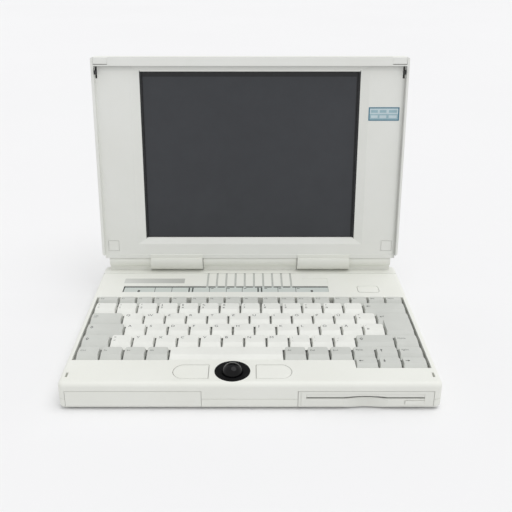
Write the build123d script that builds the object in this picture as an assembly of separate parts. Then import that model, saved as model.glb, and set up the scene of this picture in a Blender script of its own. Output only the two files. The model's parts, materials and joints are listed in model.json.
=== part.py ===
from build123d import *
import math
import os

os.makedirs("parts", exist_ok=True)

# Millimetres. X runs to the right, Y from the front edge to the rear, Z up from the table.
# The pieces are drawn with the front edge at Y = 0 and moved to the shared frame when they are written.

# Whole notebook
BASE_W = 299.4
BASE_D = 210.0
FOOT_H = 1.5
DECK_Z = 24.5
WALL = 2.0
HALF_W = BASE_W / 2
IN_W = HALF_W - WALL
SEAM_Z = 10.4
FLOOR_Z = FOOT_H + WALL
DECK_IN = DECK_Z - WALL
PLAN_R = 5.0
FRONT_R = 3.9
BOTTOM_R = 3.0
SEAM_STEP = 0.35
FIT = 0.3
SLIP = 0.05

# Lid and hinge
LID_HALF_W = HALF_W - 1.2
LID_IN_W = LID_HALF_W - WALL
LID_T = 21.0
LID_GAP = 0.5
LID_LEAN = 4.4
LID_SPLIT = 7.0
LID_FOOT = 7.3
LID_TOP_R = 1.2
LID_LOW_R = 2.6
HINGE_Y = BASE_D - 7.0
HINGE_Z = DECK_Z + LID_GAP + LID_T / 2
LID_L = HINGE_Y
BAR_R = 7.0
KNUCKLE_R = LID_T / 2
KNUCKLE_X = (48.0, 100.4)
BAR_END = HALF_W - 7.3
BAR_GAP = 0.6
UPSTAND_Y = HINGE_Y - 3.0

# The outline of the open notebook, eject button to lid rear, is centred on the shared frame's origin
EJECT_PROUD = 0.6
LEAN = math.radians(LID_LEAN)
LID_REAR_Y = HINGE_Y + (LID_T / 2 - FRONT_R) * math.cos(LEAN) + (LID_L - FRONT_R) * math.sin(LEAN) + FRONT_R
TO_FRAME = Pos(0, (EJECT_PROUD - LID_REAR_Y) / 2, 0)
TO_LID = Pos(0, HINGE_Y, HINGE_Z) * Rot(-LID_LEAN, 0, 0)


def block(x0, x1, y0, y1, z0, z1):
    """Box between two corners."""
    return Pos((x0 + x1) / 2, (y0 + y1) / 2, (z0 + z1) / 2) * Box(x1 - x0, y1 - y0, z1 - z0)


def rod(x, y, z0, z1, r):
    """Upright cylinder."""
    return Pos(x, y, (z0 + z1) / 2) * Cylinder(r, z1 - z0)


def rod_x(x0, x1, y, z, r):
    """Cylinder along X."""
    return Pos((x0 + x1) / 2, y, z) * Rot(0, 90, 0) * Cylinder(r, x1 - x0)


def rod_y(y0, y1, x, z, r):
    """Cylinder along Y."""
    return Pos(x, (y0 + y1) / 2, z) * Rot(90, 0, 0) * Cylinder(r, y1 - y0)


def round_block(x0, x1, y0, y1, z0, z1, r):
    """Box with rounded upright edges."""
    return Pos((x0 + x1) / 2, (y0 + y1) / 2, z0) * extrude(RectangleRounded(x1 - x0, y1 - y0, r), z1 - z0)


def prism_x(points, x0, x1):
    """Outline given as (y, z) points, extruded along X."""
    face = make_face(Polyline(*[(x0, y, z) for y, z in points], close=True))
    return extrude(face, amount=x1 - x0, dir=(1, 0, 0))


def mirror_pair(shape):
    """A shape and its mirror image across the middle of the notebook."""
    return Compound([shape, shape.mirror(Plane.YZ)])


def solids_of(*shapes):
    """All solids of some shapes, as one list."""
    return [s for shape in shapes for s in shape.solids()]


def save(name, *shapes):
    """Write one node, in the shared frame."""
    export_step(Compound(solids_of(*shapes)).moved(TO_FRAME), f"parts/{name}.step")


def save_lid(name, *shapes):
    """Write one node drawn on the lid: X right, Y back through the lid, Z up from the hinge axis."""
    save(name, Compound(solids_of(*shapes)).moved(TO_LID))


# Front bays: battery at the left, floppy drive at the right
BATTERY_X = (-HALF_W + 5.5, -HALF_W + 111.5)
BATTERY_D = 79.0
BATTERY_TOP = 16.1
BATTERY_FRONT_TOP = 17.1
BATTERY_FRONT_D = 28.0
BAY_FIT = 0.3
BAY_WALL = 1.5
BOARD_Z = 6.0
BOARD_T = 1.6
CHIP_Z = BOARD_Z + BOARD_T
FLOPPY_X = (HALF_W - 112.1, HALF_W - 6.5)
FLOPPY_BODY_X = (FLOPPY_X[0] + 1.6, FLOPPY_X[1] - 2.4)
FLOPPY_D = 130.0
FLOPPY_Z = (FLOOR_Z + 0.1, FLOOR_Z + 12.8)
BEZEL_TOP = 17.1
BEZEL_D = 4.0
BEZEL_GAP = 0.35
SLOT_X = (FLOPPY_X[0] + 6.2, FLOPPY_X[1] - 7.0)
SLOT_Z = (10.2, 14.8)
SLOT_LIP = 0.9
GRIP_X = (FLOPPY_X[0] + 35.6, FLOPPY_X[1] - 35.6)

# Keyboard
PITCH = 19.0
KEYS_X = 143.5
WELL_X = KEYS_X + 1.6
WELL_Y = (33.0, 140.5)
WELL_STEP_X = 84.9
WELL_STEP_Y = 21.5
KEY_TOP = DECK_Z + 1.2
KEY_H = 4.1
KEY_TRAVEL = 2.2
KEY_GAP = 0.9
PLATE_Z = 16.6
PLATE_T = 0.6
MEMBRANE_T = 0.3
SHEET_T = 0.3
FRAME_Z = 18.4
FRAME_T = 0.8
LEDGE = 1.6
COLLAR_R = 2.4
STEM_R = 1.5
KEY_SKIN = 1.1
STEM_END = 20.6
COLLAR_TOP = 20.8
DOME_R = 2.6
DOME_TOP = FRAME_Z - 0.1

# Deck furniture
STRIP = (-123.2, 76.3, 151.3, 163.9)
STRIP_Z = (DECK_Z - 1.6, DECK_Z - 0.8)
NAME_PLATE = (-124.3, -64.8, 169.7, 180.0)
BADGE = (51.6, 77.1, 168.4, 180.2)
PLATE_SINK = 0.4
POWER = (104.6, 124.6, 150.7, 163.3)
VENT_X = [-41.9 + 9.15 * i for i in range(10)]
CREASE_Y = 192.2
CREASE_W = 0.7
VENT_Y = (STRIP[3], CREASE_Y)
VENT_W = 1.9
VENT_SINK = 0.7
LATCH_X = HALF_W - 5.4
LATCH_SLOT_Y = (9.0, 15.2)
LATCH_SLOT_W = 1.8
LATCH_FLOOR_Z = 20.5
LATCH_WALL = 1.2
BUTTON_PROUD = 0.1
BUTTON_GAP = 0.45

# Trackball
BALL_X = -14.0
BALL_Y = 17.1
BALL_R = 8.6
BALL_Z = DECK_Z - 2.0
RING_R = 14.25
RING_HOLE_Z = DECK_Z - 0.6
RING_HOLE_R = math.sqrt(BALL_R**2 - (BALL_Z - RING_HOLE_Z) ** 2) + 0.1
ROLLER_R = 1.0
ROLLER_TILT = math.radians(30)
DISC_R = 3.6
PAD_NEAR = 19.0
PAD_FAR = 47.0
PAD_Y = (7.2, 25.8)

# Rear sockets: centre X, width, height, on the board
SOCKET_H = 12.0
SOCKET_Z = CHIP_Z + SOCKET_H / 2
D_SOCKETS = {"parallel_port": (62.0, 53.0), "serial_port": (112.0, 31.0), "monitor_port": (5.0, 31.0)}
ROUND_SOCKETS = [(-36.0, 6.5), (-58.0, 5.0)]
SOCKET_D = 14.0
FLANGE_T = 1.2

# Screw columns of the case: x, y, column radius, screw radius
COLUMNS = [
    (-HALF_W + 8.7, BASE_D - 12.0, 3.0, 1.2),
    (HALF_W - 8.7, BASE_D - 12.0, 3.0, 1.2),
    (BALL_X - 16.6, 29.0, 2.0, 1.0),
    (BALL_X + 16.6, 29.0, 2.0, 1.0),
]
SCREW_HEAD_H = 1.6
SCREW_TIP_Z = 19.0

# Hinge bracket under the deck
BRACKET_X = (108.0, 120.0)
BRACKET_Y = (HINGE_Y - 1.5, HINGE_Y + 1.5)
BRACKET_FOOT_Y = HINGE_Y - 15.0
BRACKET_FOOT_Z = 21.2
BARREL_R = 4.6
PIN_R = 2.5
CABLE_R = 1.6
CABLE_X = -20.0
CABLE_JOIN_X = -47.7

# Base shells


def plan(z0, z1, inset=0.0):
    """The base's outline in plan, between two heights."""
    return round_block(-HALF_W + inset, HALF_W - inset, inset, BASE_D - inset, z0, z1, PLAN_R - inset)


def bar_segments():
    """X ranges of the three lengths of the hinge bar."""
    inner = KNUCKLE_X[0] - BAR_GAP
    outer = KNUCKLE_X[1] + BAR_GAP
    return [(-BAR_END, -outer), (-inner, inner), (outer, BAR_END)]


def bracket_slots(z0, z1):
    """Room for the legs of the two hinge brackets."""
    slot = block(BRACKET_X[0] - FIT, BRACKET_X[1] + FIT, BRACKET_Y[0] - FIT, BRACKET_Y[1] + FIT, z0, z1)
    return mirror_pair(slot)


def socket_cuts():
    """Openings in the rear wall for the sockets."""
    y0 = BASE_D - WALL - 1
    y1 = BASE_D + 1
    half_h = SOCKET_H / 2 + SLIP
    cuts = []
    for x, width in D_SOCKETS.values():
        half = width / 2 + SLIP
        cuts.append(block(x - half, x + half, y0, y1, SOCKET_Z - half_h, SOCKET_Z + half_h))
    for x, radius in ROUND_SOCKETS:
        cuts.append(rod_y(y0, y1, x, CHIP_Z + radius, radius + SLIP))
    return cuts


def front_cuts():
    """Openings in the front wall for the battery pack and the floppy drive's bezel."""
    battery_top = BATTERY_FRONT_TOP + BAY_FIT
    battery = block(BATTERY_X[0] - BAY_FIT, BATTERY_X[1] + BAY_FIT, -1, BATTERY_D + BAY_FIT, 0, battery_top)
    bezel = block(FLOPPY_X[0] - BEZEL_GAP, FLOPPY_X[1] + BEZEL_GAP, -1, BEZEL_D, 0, BEZEL_TOP + BEZEL_GAP)
    return [battery, bezel]


BAY_IN_X = BATTERY_X[1] + BAY_FIT
BAY_REAR_Y = BATTERY_D + BAY_FIT
BAY_WALL_TOP = PLATE_Z - 0.2

bottom = plan(FOOT_H, SEAM_Z)
bottom = fillet(bottom.faces().sort_by(Axis.Z)[0].edges(), BOTTOM_R)
bottom -= plan(SEAM_Z - SEAM_STEP, SEAM_Z + 1) - plan(SEAM_Z - SEAM_STEP, SEAM_Z + 1, SEAM_STEP)
bottom -= plan(FLOOR_Z, SEAM_Z + 1, WALL)
for x, y, radius, screw in COLUMNS:
    bottom += rod(x, y, FLOOR_Z - 0.5, SEAM_Z, radius)
for part in front_cuts() + socket_cuts():
    bottom -= part
bottom += block(BAY_IN_X, BAY_IN_X + BAY_WALL, WALL, BAY_REAR_Y + BAY_WALL, FOOT_H, BAY_WALL_TOP)
bottom += block(-IN_W, BAY_IN_X + BAY_WALL, BAY_REAR_Y, BAY_REAR_Y + BAY_WALL, FOOT_H, BAY_WALL_TOP)
bottom += block(-IN_W - 0.5, BATTERY_X[0] - BAY_FIT, WALL, BAY_REAR_Y + BAY_WALL, FLOOR_Z - 0.5, SEAM_Z)
FOOT_R = 5.5
FOOT_X = HALF_W - 17.7
REAR_FOOT_Y = BASE_D - 14.0
FEET = [(-FOOT_X, 96.0), (FOOT_X, 14.0), (-FOOT_X, REAR_FOOT_Y), (FOOT_X, REAR_FOOT_Y), (-24.0, 12.0)]
FOOT_SINK = 0.8
for x, y in FEET:
    bottom -= rod(x, y, FOOT_H - 1, FOOT_H + FOOT_SINK, FOOT_R)
for x, y, radius, screw in COLUMNS:
    bottom -= rod(x, y, 0, FOOT_H + SCREW_HEAD_H, radius - 0.4)
    bottom -= rod(x, y, 0, SEAM_Z + 1, screw)

# Stand-offs for the main board
BOARD_A = (-66.0, 33.6, 84.0, 206.0)
BOARD_B = (30.0, 134.0, 137.0, 206.0)
STAND_OFFS = [(-60.0, 90.0), (28.0, 90.0), (-60.0, 186.0), (128.0, 142.0), (28.0, 150.0), (128.0, 186.0)]
for x, y in STAND_OFFS:
    bottom += rod(x, y, FLOOR_Z - 0.5, BOARD_Z, 3.0)
# Pillars under the keyboard plate
PILLARS = [(36.4, 60.0), (-100.0, 86.0), (0.0, 60.0), (36.4, 110.0)]
for x, y in PILLARS:
    bottom += rod(x, y, FLOOR_Z - 0.5, PLATE_Z, 1.8)
save("base_bottom_case", bottom)

WELL = [
    (-WELL_X, WELL_Y[1]),
    (-WELL_X, WELL_Y[0]),
    (WELL_STEP_X, WELL_Y[0]),
    (WELL_STEP_X, WELL_STEP_Y),
    (WELL_X, WELL_STEP_Y),
    (WELL_X, WELL_Y[1]),
]
FRAME_TOP = FRAME_Z + FRAME_T


def well_face(grow):
    """The keyboard well's outline in plan, grown on every side."""
    face = make_face(Polyline(*WELL, close=True))
    return offset(face, grow, kind=Kind.INTERSECTION) if grow else face


def well_prism(grow, z0, z1):
    """The keyboard well's outline between two heights."""
    return Pos(0, 0, z0) * extrude(well_face(grow), z1 - z0)


def pad_outline(side, grow):
    """A pointer button's outline: square by the ball, round at the far end."""
    near = BALL_X + side * (PAD_NEAR - grow)
    far = BALL_X + side * (PAD_FAR + grow)
    low = PAD_Y[0] - grow
    high = PAD_Y[1] + grow
    shoulder = far - side * (high - low) * 0.36
    curve = ThreePointArc((shoulder, low), (far, (low + high) / 2), (shoulder, high))
    lower = Line((near, low), (shoulder, low))
    upper = Line((shoulder, high), (near, high))
    return make_face([lower, curve, upper, Line((near, high), (near, low))])


def pad_prism(side, grow, z0, z1):
    """A pointer button's outline between two heights."""
    return Pos(0, 0, z0) * extrude(pad_outline(side, grow), z1 - z0)


def power_prism(grow, z0, z1):
    """The power button's outline between two heights."""
    x0, x1, y0, y1 = POWER
    return round_block(x0 - grow, x1 + grow, y0 - grow, y1 + grow, z0, z1, 3.0)


def plate(span, z0, z1):
    """A box over a plan range."""
    return block(*span, z0, z1)


top = plan(SEAM_Z, DECK_Z)
top = fillet(top.faces().sort_by(Axis.Z)[-1].edges(), FRONT_R)
top -= plan(SEAM_Z - 1, DECK_IN, WALL)
top += well_prism(LEDGE, FRAME_TOP, DECK_IN + 0.5)
top += power_prism(LEDGE, DECK_IN - 3, DECK_IN + 0.5)
for x, y, radius, screw in COLUMNS:
    top += rod(x, y, SEAM_Z, DECK_IN + 0.5, radius)
top += block(-IN_W - 0.5, BATTERY_X[0] - BAY_FIT, WALL, BAY_REAR_Y, SEAM_Z, BAY_WALL_TOP)
latch_half = LATCH_SLOT_W / 2 + LATCH_WALL
latch_y = (LATCH_SLOT_Y[0] - LATCH_WALL, LATCH_SLOT_Y[1] + LATCH_WALL)
for x in (-LATCH_X, LATCH_X):
    top += block(x - latch_half, x + latch_half, *latch_y, LATCH_FLOOR_Z - 0.6, DECK_IN + 0.5)
for x0, x1 in bar_segments():
    top += block(x0, x1, UPSTAND_Y, BASE_D - 1.4, DECK_IN, DECK_Z + 6.5)
top -= rod_x(-HALF_W - 1, HALF_W + 1, HINGE_Y, HINGE_Z, BAR_R)
top -= well_prism(0, SEAM_Z, DECK_Z + 1)
top -= power_prism(BUTTON_GAP, SEAM_Z, DECK_Z + 1)
top -= plate(STRIP, STRIP_Z[0], DECK_Z + 1)
top -= block(STRIP[0] + 2, STRIP[1] - 2, STRIP[2] + 2, STRIP[3] - 2, DECK_IN - 1, DECK_Z)
top -= plate(NAME_PLATE, DECK_Z - PLATE_SINK, DECK_Z + 1)
top -= plate(BADGE, DECK_Z - 2 * PLATE_SINK, DECK_Z + 1)
vents = []
for x in VENT_X:
    vents.append(block(x - VENT_W / 2, x + VENT_W / 2, *VENT_Y, DECK_Z - VENT_SINK, DECK_Z + 1))
crease_y = (CREASE_Y - CREASE_W / 2, CREASE_Y + CREASE_W / 2)
vents.append(block(-LID_HALF_W, LID_HALF_W, *crease_y, DECK_Z - CREASE_W, DECK_Z + 1))
for side in (-1, 1):
    x = side * LATCH_X
    vents.append(block(x - LATCH_SLOT_W / 2, x + LATCH_SLOT_W / 2, *LATCH_SLOT_Y, LATCH_FLOOR_Z, DECK_Z + 1))
    vents.append(pad_prism(side, BUTTON_GAP, SEAM_Z, DECK_Z + 1))
vents.append(rod(BALL_X, BALL_Y, SEAM_Z, DECK_Z + 1, RING_R - 1.2))
vents.append(rod(BALL_X, BALL_Y, DECK_Z - 1.3, DECK_Z + 1, RING_R))
vents.append(bracket_slots(DECK_IN - 1, DECK_Z + 8))
vents.append(rod(CABLE_X, HINGE_Y, DECK_IN - 1, DECK_Z + 8, CABLE_R + FIT))
for part in vents + front_cuts() + socket_cuts():
    top -= part
for x, y, radius, screw in COLUMNS:
    top -= rod(x, y, SEAM_Z - 1, SCREW_TIP_Z, screw)
SWITCH_BOARD_Z = 18.0
SWITCH_BOARD_T = 1.2
SWITCH_POSTS = [(-57.0, 29.0), (-40.0, 29.0), (8.6, 29.0), (31.0, 29.0)]
for x, y in SWITCH_POSTS:
    top += rod(x, y, SWITCH_BOARD_Z + SWITCH_BOARD_T, DECK_IN + 0.5, 1.4)
save("base_top_case", top)

# Hinge bar covers
covers = []
for x0, x1 in bar_segments():
    tube = rod_x(x0, x1, HINGE_Y, HINGE_Z, BAR_R) - rod_x(x0 + 1.2, x1 - 1.2, HINGE_Y, HINGE_Z, BAR_R - 1.6)
    covers.append(tube)
covers = Compound(covers)
covers -= rod_x(-BRACKET_X[0], BRACKET_X[0], HINGE_Y, HINGE_Z, PIN_R + FIT)
covers -= bracket_slots(DECK_IN, HINGE_Z)
covers -= rod(CABLE_X, HINGE_Y, DECK_IN, HINGE_Z, CABLE_R + FIT)
save("hinge_bar_covers", covers)

# Hinge brackets, screwed under the deck
bracket = block(*BRACKET_X, *BRACKET_Y, BRACKET_FOOT_Z, HINGE_Z)
bracket += block(*BRACKET_X, BRACKET_FOOT_Y, BRACKET_Y[1], BRACKET_FOOT_Z, DECK_IN)
bracket += rod_x(*BRACKET_X, HINGE_Y, HINGE_Z, BARREL_R)
bracket -= rod_x(BRACKET_X[0] - 1, BRACKET_X[1] + 1, HINGE_Y, HINGE_Z, PIN_R + SLIP)
bracket_screws = []
for x in (BRACKET_X[0] + 3, BRACKET_X[1] - 3):
    shank = rod(x, BRACKET_FOOT_Y + 4, BRACKET_FOOT_Z - 1.2, DECK_IN, 1.0)
    bracket -= shank
    bracket_screws.append(shank + rod(x, BRACKET_FOOT_Y + 4, BRACKET_FOOT_Z - 1.2, BRACKET_FOOT_Z, 2.2))
save("hinge_brackets", mirror_pair(bracket))

feet = []
for x, y in FEET:
    feet.append(fillet(rod(x, y, 0, FOOT_H + FOOT_SINK, FOOT_R).edges().sort_by(Axis.Z)[0], 0.6))
save("rubber_feet", *feet)

case_screws = [mirror_pair(Compound(bracket_screws))]
for x, y, radius, screw in COLUMNS:
    head = rod(x, y, FOOT_H + 0.2, FOOT_H + SCREW_HEAD_H, radius - 0.4)
    case_screws.append(head + rod(x, y, FOOT_H + SCREW_HEAD_H, SCREW_TIP_Z, screw))
save("case_screws", *case_screws)

# Label plates and status strip
save("status_strip", plate(STRIP, *STRIP_Z))
name_plate = plate(NAME_PLATE, DECK_Z - PLATE_SINK, DECK_Z)
badge = plate(BADGE, DECK_Z - 2 * PLATE_SINK, DECK_Z - PLATE_SINK)
save("label_plates", name_plate, badge)

# Power button and its stem down to the board's switch
POWER_TRAVEL = 1.5
SWITCH_TOP = 15.0
power_x = (POWER[0] + POWER[1]) / 2
power_y = (POWER[2] + POWER[3]) / 2
power = power_prism(0, DECK_IN - 2.6, DECK_Z + BUTTON_PROUD)
power += rod(power_x, power_y, SWITCH_TOP + POWER_TRAVEL + 0.3, DECK_IN - 2.4, 1.8)
save("power_button", power)

# Keyboard: plan cells of every key, as x0, x1, y0, y1


def run(x0, count, pitch, y0, y1):
    """Cells of a run of equal keys."""
    return [(x0 + pitch * i, x0 + pitch * (i + 1), y0, y1) for i in range(count)]


ROW_Y = [WELL_Y[0] + PITCH * i for i in range(6)]
TOP_ROW = (ROW_Y[5], WELL_Y[1])
ESC_W = 20.0
F_PITCH = 16.2
F_GROUP = 4 * F_PITCH + 2.4
F_LAST = 16.35
ARROW_SPLIT_Y = 36.4
HOME_X = -110.0
QWERTZ_X = -114.5
NUMBER_X = -123.0
LOWER_X = -119.0
SHIFT_X = 90.0
NAV_X = 123.0
SPACE_X = (-67.0, 28.0)

function_row = [(-KEYS_X, -KEYS_X + ESC_W, *TOP_ROW)]
for group in range(3):
    function_row += run(-KEYS_X + ESC_W + F_GROUP * group, 4, F_PITCH, *TOP_ROW)
function_row += run(-KEYS_X + ESC_W + F_GROUP * 3, 4, F_LAST, *TOP_ROW)
BACK_X = NUMBER_X + 12 * PITCH - 0.5
number_row = [(-KEYS_X, NUMBER_X, ROW_Y[4], ROW_Y[5])] + run(NUMBER_X, 11, PITCH, ROW_Y[4], ROW_Y[5])
number_row.append((NUMBER_X + 11 * PITCH, BACK_X, ROW_Y[4], ROW_Y[5]))
qwertz_row = run(QWERTZ_X, 12, PITCH, ROW_Y[3], ROW_Y[4])
home_row = run(HOME_X, 12, PITCH, ROW_Y[2], ROW_Y[3])
lower_row = run(LOWER_X, 11, PITCH, ROW_Y[1], ROW_Y[2])
left_edge = [
    (-KEYS_X, QWERTZ_X, ROW_Y[3], ROW_Y[4]),
    (-KEYS_X, HOME_X, ROW_Y[2], ROW_Y[3]),
    (-KEYS_X, LOWER_X, ROW_Y[1], ROW_Y[2]),
]
right_edge = [(BACK_X, KEYS_X, ROW_Y[4], ROW_Y[5]), (SHIFT_X, NAV_X, ROW_Y[1], ROW_Y[2])]
ENTER_LOW = (HOME_X + 12 * PITCH, KEYS_X, ROW_Y[2], ROW_Y[4])
ENTER_HIGH = (QWERTZ_X + 12 * PITCH, KEYS_X, ROW_Y[3], ROW_Y[4])
space_bar = [(*SPACE_X, ROW_Y[0], ROW_Y[1])]
modifiers = run(-KEYS_X, 1, SPACE_X[0] - 3 * PITCH + KEYS_X, ROW_Y[0], ROW_Y[1])
modifiers += run(SPACE_X[0] - 3 * PITCH, 3, PITCH, ROW_Y[0], ROW_Y[1])
modifiers += run(SPACE_X[1], 3, PITCH, ROW_Y[0], ROW_Y[1])
cursor_keys = [(NAV_X, KEYS_X, ROW_Y[1], ROW_Y[2])]
for y0, y1 in ((WELL_STEP_Y, ARROW_SPLIT_Y), (ARROW_SPLIT_Y, ROW_Y[1])):
    cursor_keys += run(SPACE_X[1] + 3 * PITCH, 2, PITCH, y0, y1)
    cursor_keys.append((NAV_X, KEYS_X, y0, y1))

KEY_BASE = KEY_TOP - KEY_H
SIDE_LEAN = 0.8
FRONT_LEAN = 6.2
FRONT_SHARE = 0.35
REAR_LEAN = 0.7
KEY_REAR_R = 2.2
KEY_FRONT_R = 0.8


def tapered(cell, shrink, z0, z1):
    """Block with leaning sides inside a key's cell."""
    x0, x1, y0, y1 = cell
    width = x1 - x0 - 2 * shrink
    depth = y1 - y0 - 2 * shrink
    lean = min(FRONT_LEAN, depth * FRONT_SHARE)
    body = Wedge(
        width, z1 - z0, depth, SIDE_LEAN, REAR_LEAN, width - SIDE_LEAN, depth - lean,
        align=(Align.MIN, Align.MIN, Align.MIN),
    )
    corners = [edge for edge in body.edges() if abs((edge @ 0).Y - (edge @ 1).Y) > (z1 - z0) / 2]
    corners.sort(key=lambda edge: edge.center().Z)
    body = fillet(corners[:2], KEY_REAR_R)
    front = [edge for edge in body.edges() if abs((edge @ 0).Y - (edge @ 1).Y) > (z1 - z0) / 2]
    front.sort(key=lambda edge: edge.center().Z)
    body = fillet(front[-2:], KEY_FRONT_R)
    return Pos(x0 + shrink, y1 - shrink, z0) * Rot(90, 0, 0) * body


def stem_points(cell):
    """Where a key's stems stand: one in the middle, and two more under a long bar."""
    x = (cell[0] + cell[1]) / 2
    y = (cell[2] + cell[3]) / 2
    if cell[1] - cell[0] > 4 * PITCH:
        return [(x - 2 * PITCH, y), (x, y), (x + 2 * PITCH, y)]
    return [(x, y)]


def key_cap(cell, more=None):
    """Hollow key cap with its stems; a second cell makes an angled key."""
    outer = tapered(cell, KEY_GAP / 2, KEY_BASE, KEY_TOP)
    hollow = tapered(cell, KEY_GAP / 2 + KEY_SKIN, KEY_BASE - 1, KEY_TOP - KEY_SKIN)
    if more:
        outer += tapered(more, KEY_GAP / 2, KEY_BASE, KEY_TOP)
        hollow += tapered(more, KEY_GAP / 2 + KEY_SKIN, KEY_BASE - 1, KEY_TOP - KEY_SKIN)
    cap = outer - hollow
    for x, y in stem_points(cell):
        cap += rod(x, y, STEM_END, KEY_TOP - KEY_SKIN / 2, STEM_R)
    return cap


KEY_GROUPS = {
    "keys_function_row": function_row,
    "keys_number_row": number_row,
    "keys_upper_letters": qwertz_row,
    "keys_middle_letters": home_row,
    "keys_lower_letters": lower_row,
    "keys_left_edge": left_edge,
    "key_space_bar": space_bar,
    "keys_modifiers": modifiers,
    "keys_cursor": cursor_keys,
}
for name, cells in KEY_GROUPS.items():
    save(name, *[key_cap(cell) for cell in cells])
save("keys_right_edge", key_cap(ENTER_LOW, ENTER_HIGH), *[key_cap(cell) for cell in right_edge])

all_cells = [cell for cells in KEY_GROUPS.values() for cell in cells] + right_edge + [ENTER_LOW]
stems = [point for cell in all_cells for point in stem_points(cell)]


def at_stems(sketch, z0, z1):
    """One extruded copy of a sketch at every stem."""
    return Pos(0, 0, z0) * extrude(Sketch() + [Pos(x, y) * sketch for x, y in stems], z1 - z0)


FRAME_LIP = 1.0
stack_top = PLATE_Z + PLATE_T + MEMBRANE_T + SHEET_T
key_frame = well_prism(LEDGE, stack_top, FRAME_TOP) - well_prism(-FRAME_LIP, PLATE_Z, FRAME_Z)
key_frame += at_stems(Circle(COLLAR_R), FRAME_Z, COLLAR_TOP)
key_frame -= at_stems(Circle(STEM_R + FIT), FRAME_Z - 1, COLLAR_TOP + 1)
save("keyboard_frame", key_frame)
sheet_z = PLATE_Z + PLATE_T
save("keyboard_plate", well_prism(LEDGE, PLATE_Z, sheet_z))
save("keyboard_membrane", well_prism(LEDGE, sheet_z, sheet_z + MEMBRANE_T))
sheet_z += MEMBRANE_T
STEM_LOW = STEM_END - KEY_TRAVEL
dome_top = min(DOME_TOP, STEM_LOW - 0.1)
domes = well_prism(LEDGE, sheet_z, sheet_z + SHEET_T) + at_stems(Circle(DOME_R), sheet_z, dome_top)
save("rubber_dome_sheet", domes)

# Main board with its chips
board = plate(BOARD_A, BOARD_Z, BOARD_Z + BOARD_T) + plate(BOARD_B, BOARD_Z, BOARD_Z + BOARD_T)
save("main_board", board)
CHIPS = [
    (-20.0, 120.0, 34.0, 34.0, 3.6),
    (14.0, 110.0, 22.0, 22.0, 2.6),
    (-46.0, 110.0, 10.0, 24.0, 2.8),
    (-46.0, 145.0, 10.0, 24.0, 2.8),
    (-18.0, 165.0, 28.0, 28.0, 3.0),
    (60.0, 160.0, 28.0, 28.0, 3.0),
    (96.0, 165.0, 20.0, 14.0, 2.6),
    (20.0, 180.0, 12.0, 20.0, 5.0),
    (CABLE_X, 200.0, 10.0, 8.0, 4.0),
    (power_x, power_y, 8.0, 8.0, SWITCH_TOP - CHIP_Z),
]
chips = []
for x, y, width, depth, height in CHIPS:
    chips.append(block(x - width / 2, x + width / 2, y - depth / 2, y + depth / 2, CHIP_Z, CHIP_Z + height))
save("board_chips", *chips)

# Hard drive, 2.5 inch
DRIVE = (-IN_W + 4.7, -IN_W + 74.5, 90.0, 190.0)
DRIVE_H = 12.5
drive = plate(DRIVE, FLOOR_Z, FLOOR_Z + DRIVE_H)
drive = fillet(drive.edges().filter_by(Axis.Z), 2.0)
save("hard_drive", drive)

# Speaker under the grooves
SPEAKER_R = 11.0
SPEAKER_Y = 178.0
SPEAKER_H = (1.2, 2.6)
speaker = rod(0, SPEAKER_Y, DECK_IN - SPEAKER_H[0], DECK_IN, SPEAKER_R)
speaker += rod(0, SPEAKER_Y, DECK_IN - SPEAKER_H[1], DECK_IN - SPEAKER_H[0], SPEAKER_R / 2)
save("speaker", speaker)

# Rear sockets
for name, (x, width) in D_SOCKETS.items():
    low = SOCKET_Z - SOCKET_H / 2
    high = SOCKET_Z + SOCKET_H / 2
    half = width / 2
    socket = block(x - half, x + half, BASE_D - FLANGE_T, BASE_D, low, high)
    socket += block(x - half + 5, x + half - 5, BASE_D - SOCKET_D, BASE_D - FLANGE_T, CHIP_Z, high - 1)
    shell = block(x - half + 6.5, x + half - 6.5, BASE_D, BASE_D + 3.0, SOCKET_Z - 4.2, SOCKET_Z + 4.2)
    shell = fillet(shell.edges().filter_by(Axis.Y), 2.4)
    pin_x = (x - half + 7.7, x + half - 7.7)
    pin_room = block(*pin_x, BASE_D - 4.0, BASE_D + 4.0, SOCKET_Z - 3.0, SOCKET_Z + 3.0)
    socket += shell
    socket -= pin_room
    for side in (-1, 1):
        socket += rod_y(BASE_D, BASE_D + 3.0, x + side * (half - 3.4), SOCKET_Z, 2.4)
    save(name, socket)
round_sockets = []
for x, radius in ROUND_SOCKETS:
    z = CHIP_Z + radius
    socket = rod_y(BASE_D - SOCKET_D, BASE_D + 0.4, x, z, radius)
    socket += block(x - radius, x + radius, BASE_D - SOCKET_D, BASE_D - WALL - 0.4, CHIP_Z, z)
    socket -= rod_y(BASE_D - 7.0, BASE_D + 1, x, z, radius - 1.6)
    socket += rod_y(BASE_D - 7.0, BASE_D - 1.0, x, z, 1.0)
    round_sockets.append(socket)
save("round_sockets", *round_sockets)

# Floppy drive
fx0, fx1 = FLOPPY_BODY_X
fz0, fz1 = FLOPPY_Z
chassis = block(fx0, fx1, BEZEL_D, BEZEL_D + FLOPPY_D, fz0, fz1)
DISK_D = 98.0
DISK_W = SLOT_X[1] - SLOT_X[0] - 0.6
disk_x = (SLOT_X[0] + SLOT_X[1]) / 2
chassis -= block(disk_x - DISK_W / 2, disk_x + DISK_W / 2, BEZEL_D - 1, BEZEL_D + DISK_D, *SLOT_Z)
EJECT_X = (SLOT_X[1] - 15.2, SLOT_X[1] - 0.6)
EJECT_Z = (5.6, 8.9)
EJECT_TRAVEL = 4.0
TONGUE_L = 9.0
eject_low = (EJECT_X[0] - FIT, EJECT_X[1] + FIT)
eject_y = (BEZEL_D - 1, BEZEL_D + TONGUE_L + EJECT_TRAVEL + 1)
chassis -= block(*eject_low, *eject_y, EJECT_Z[0] - FIT, EJECT_Z[1] + FIT)
save("floppy_chassis", chassis)

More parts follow.
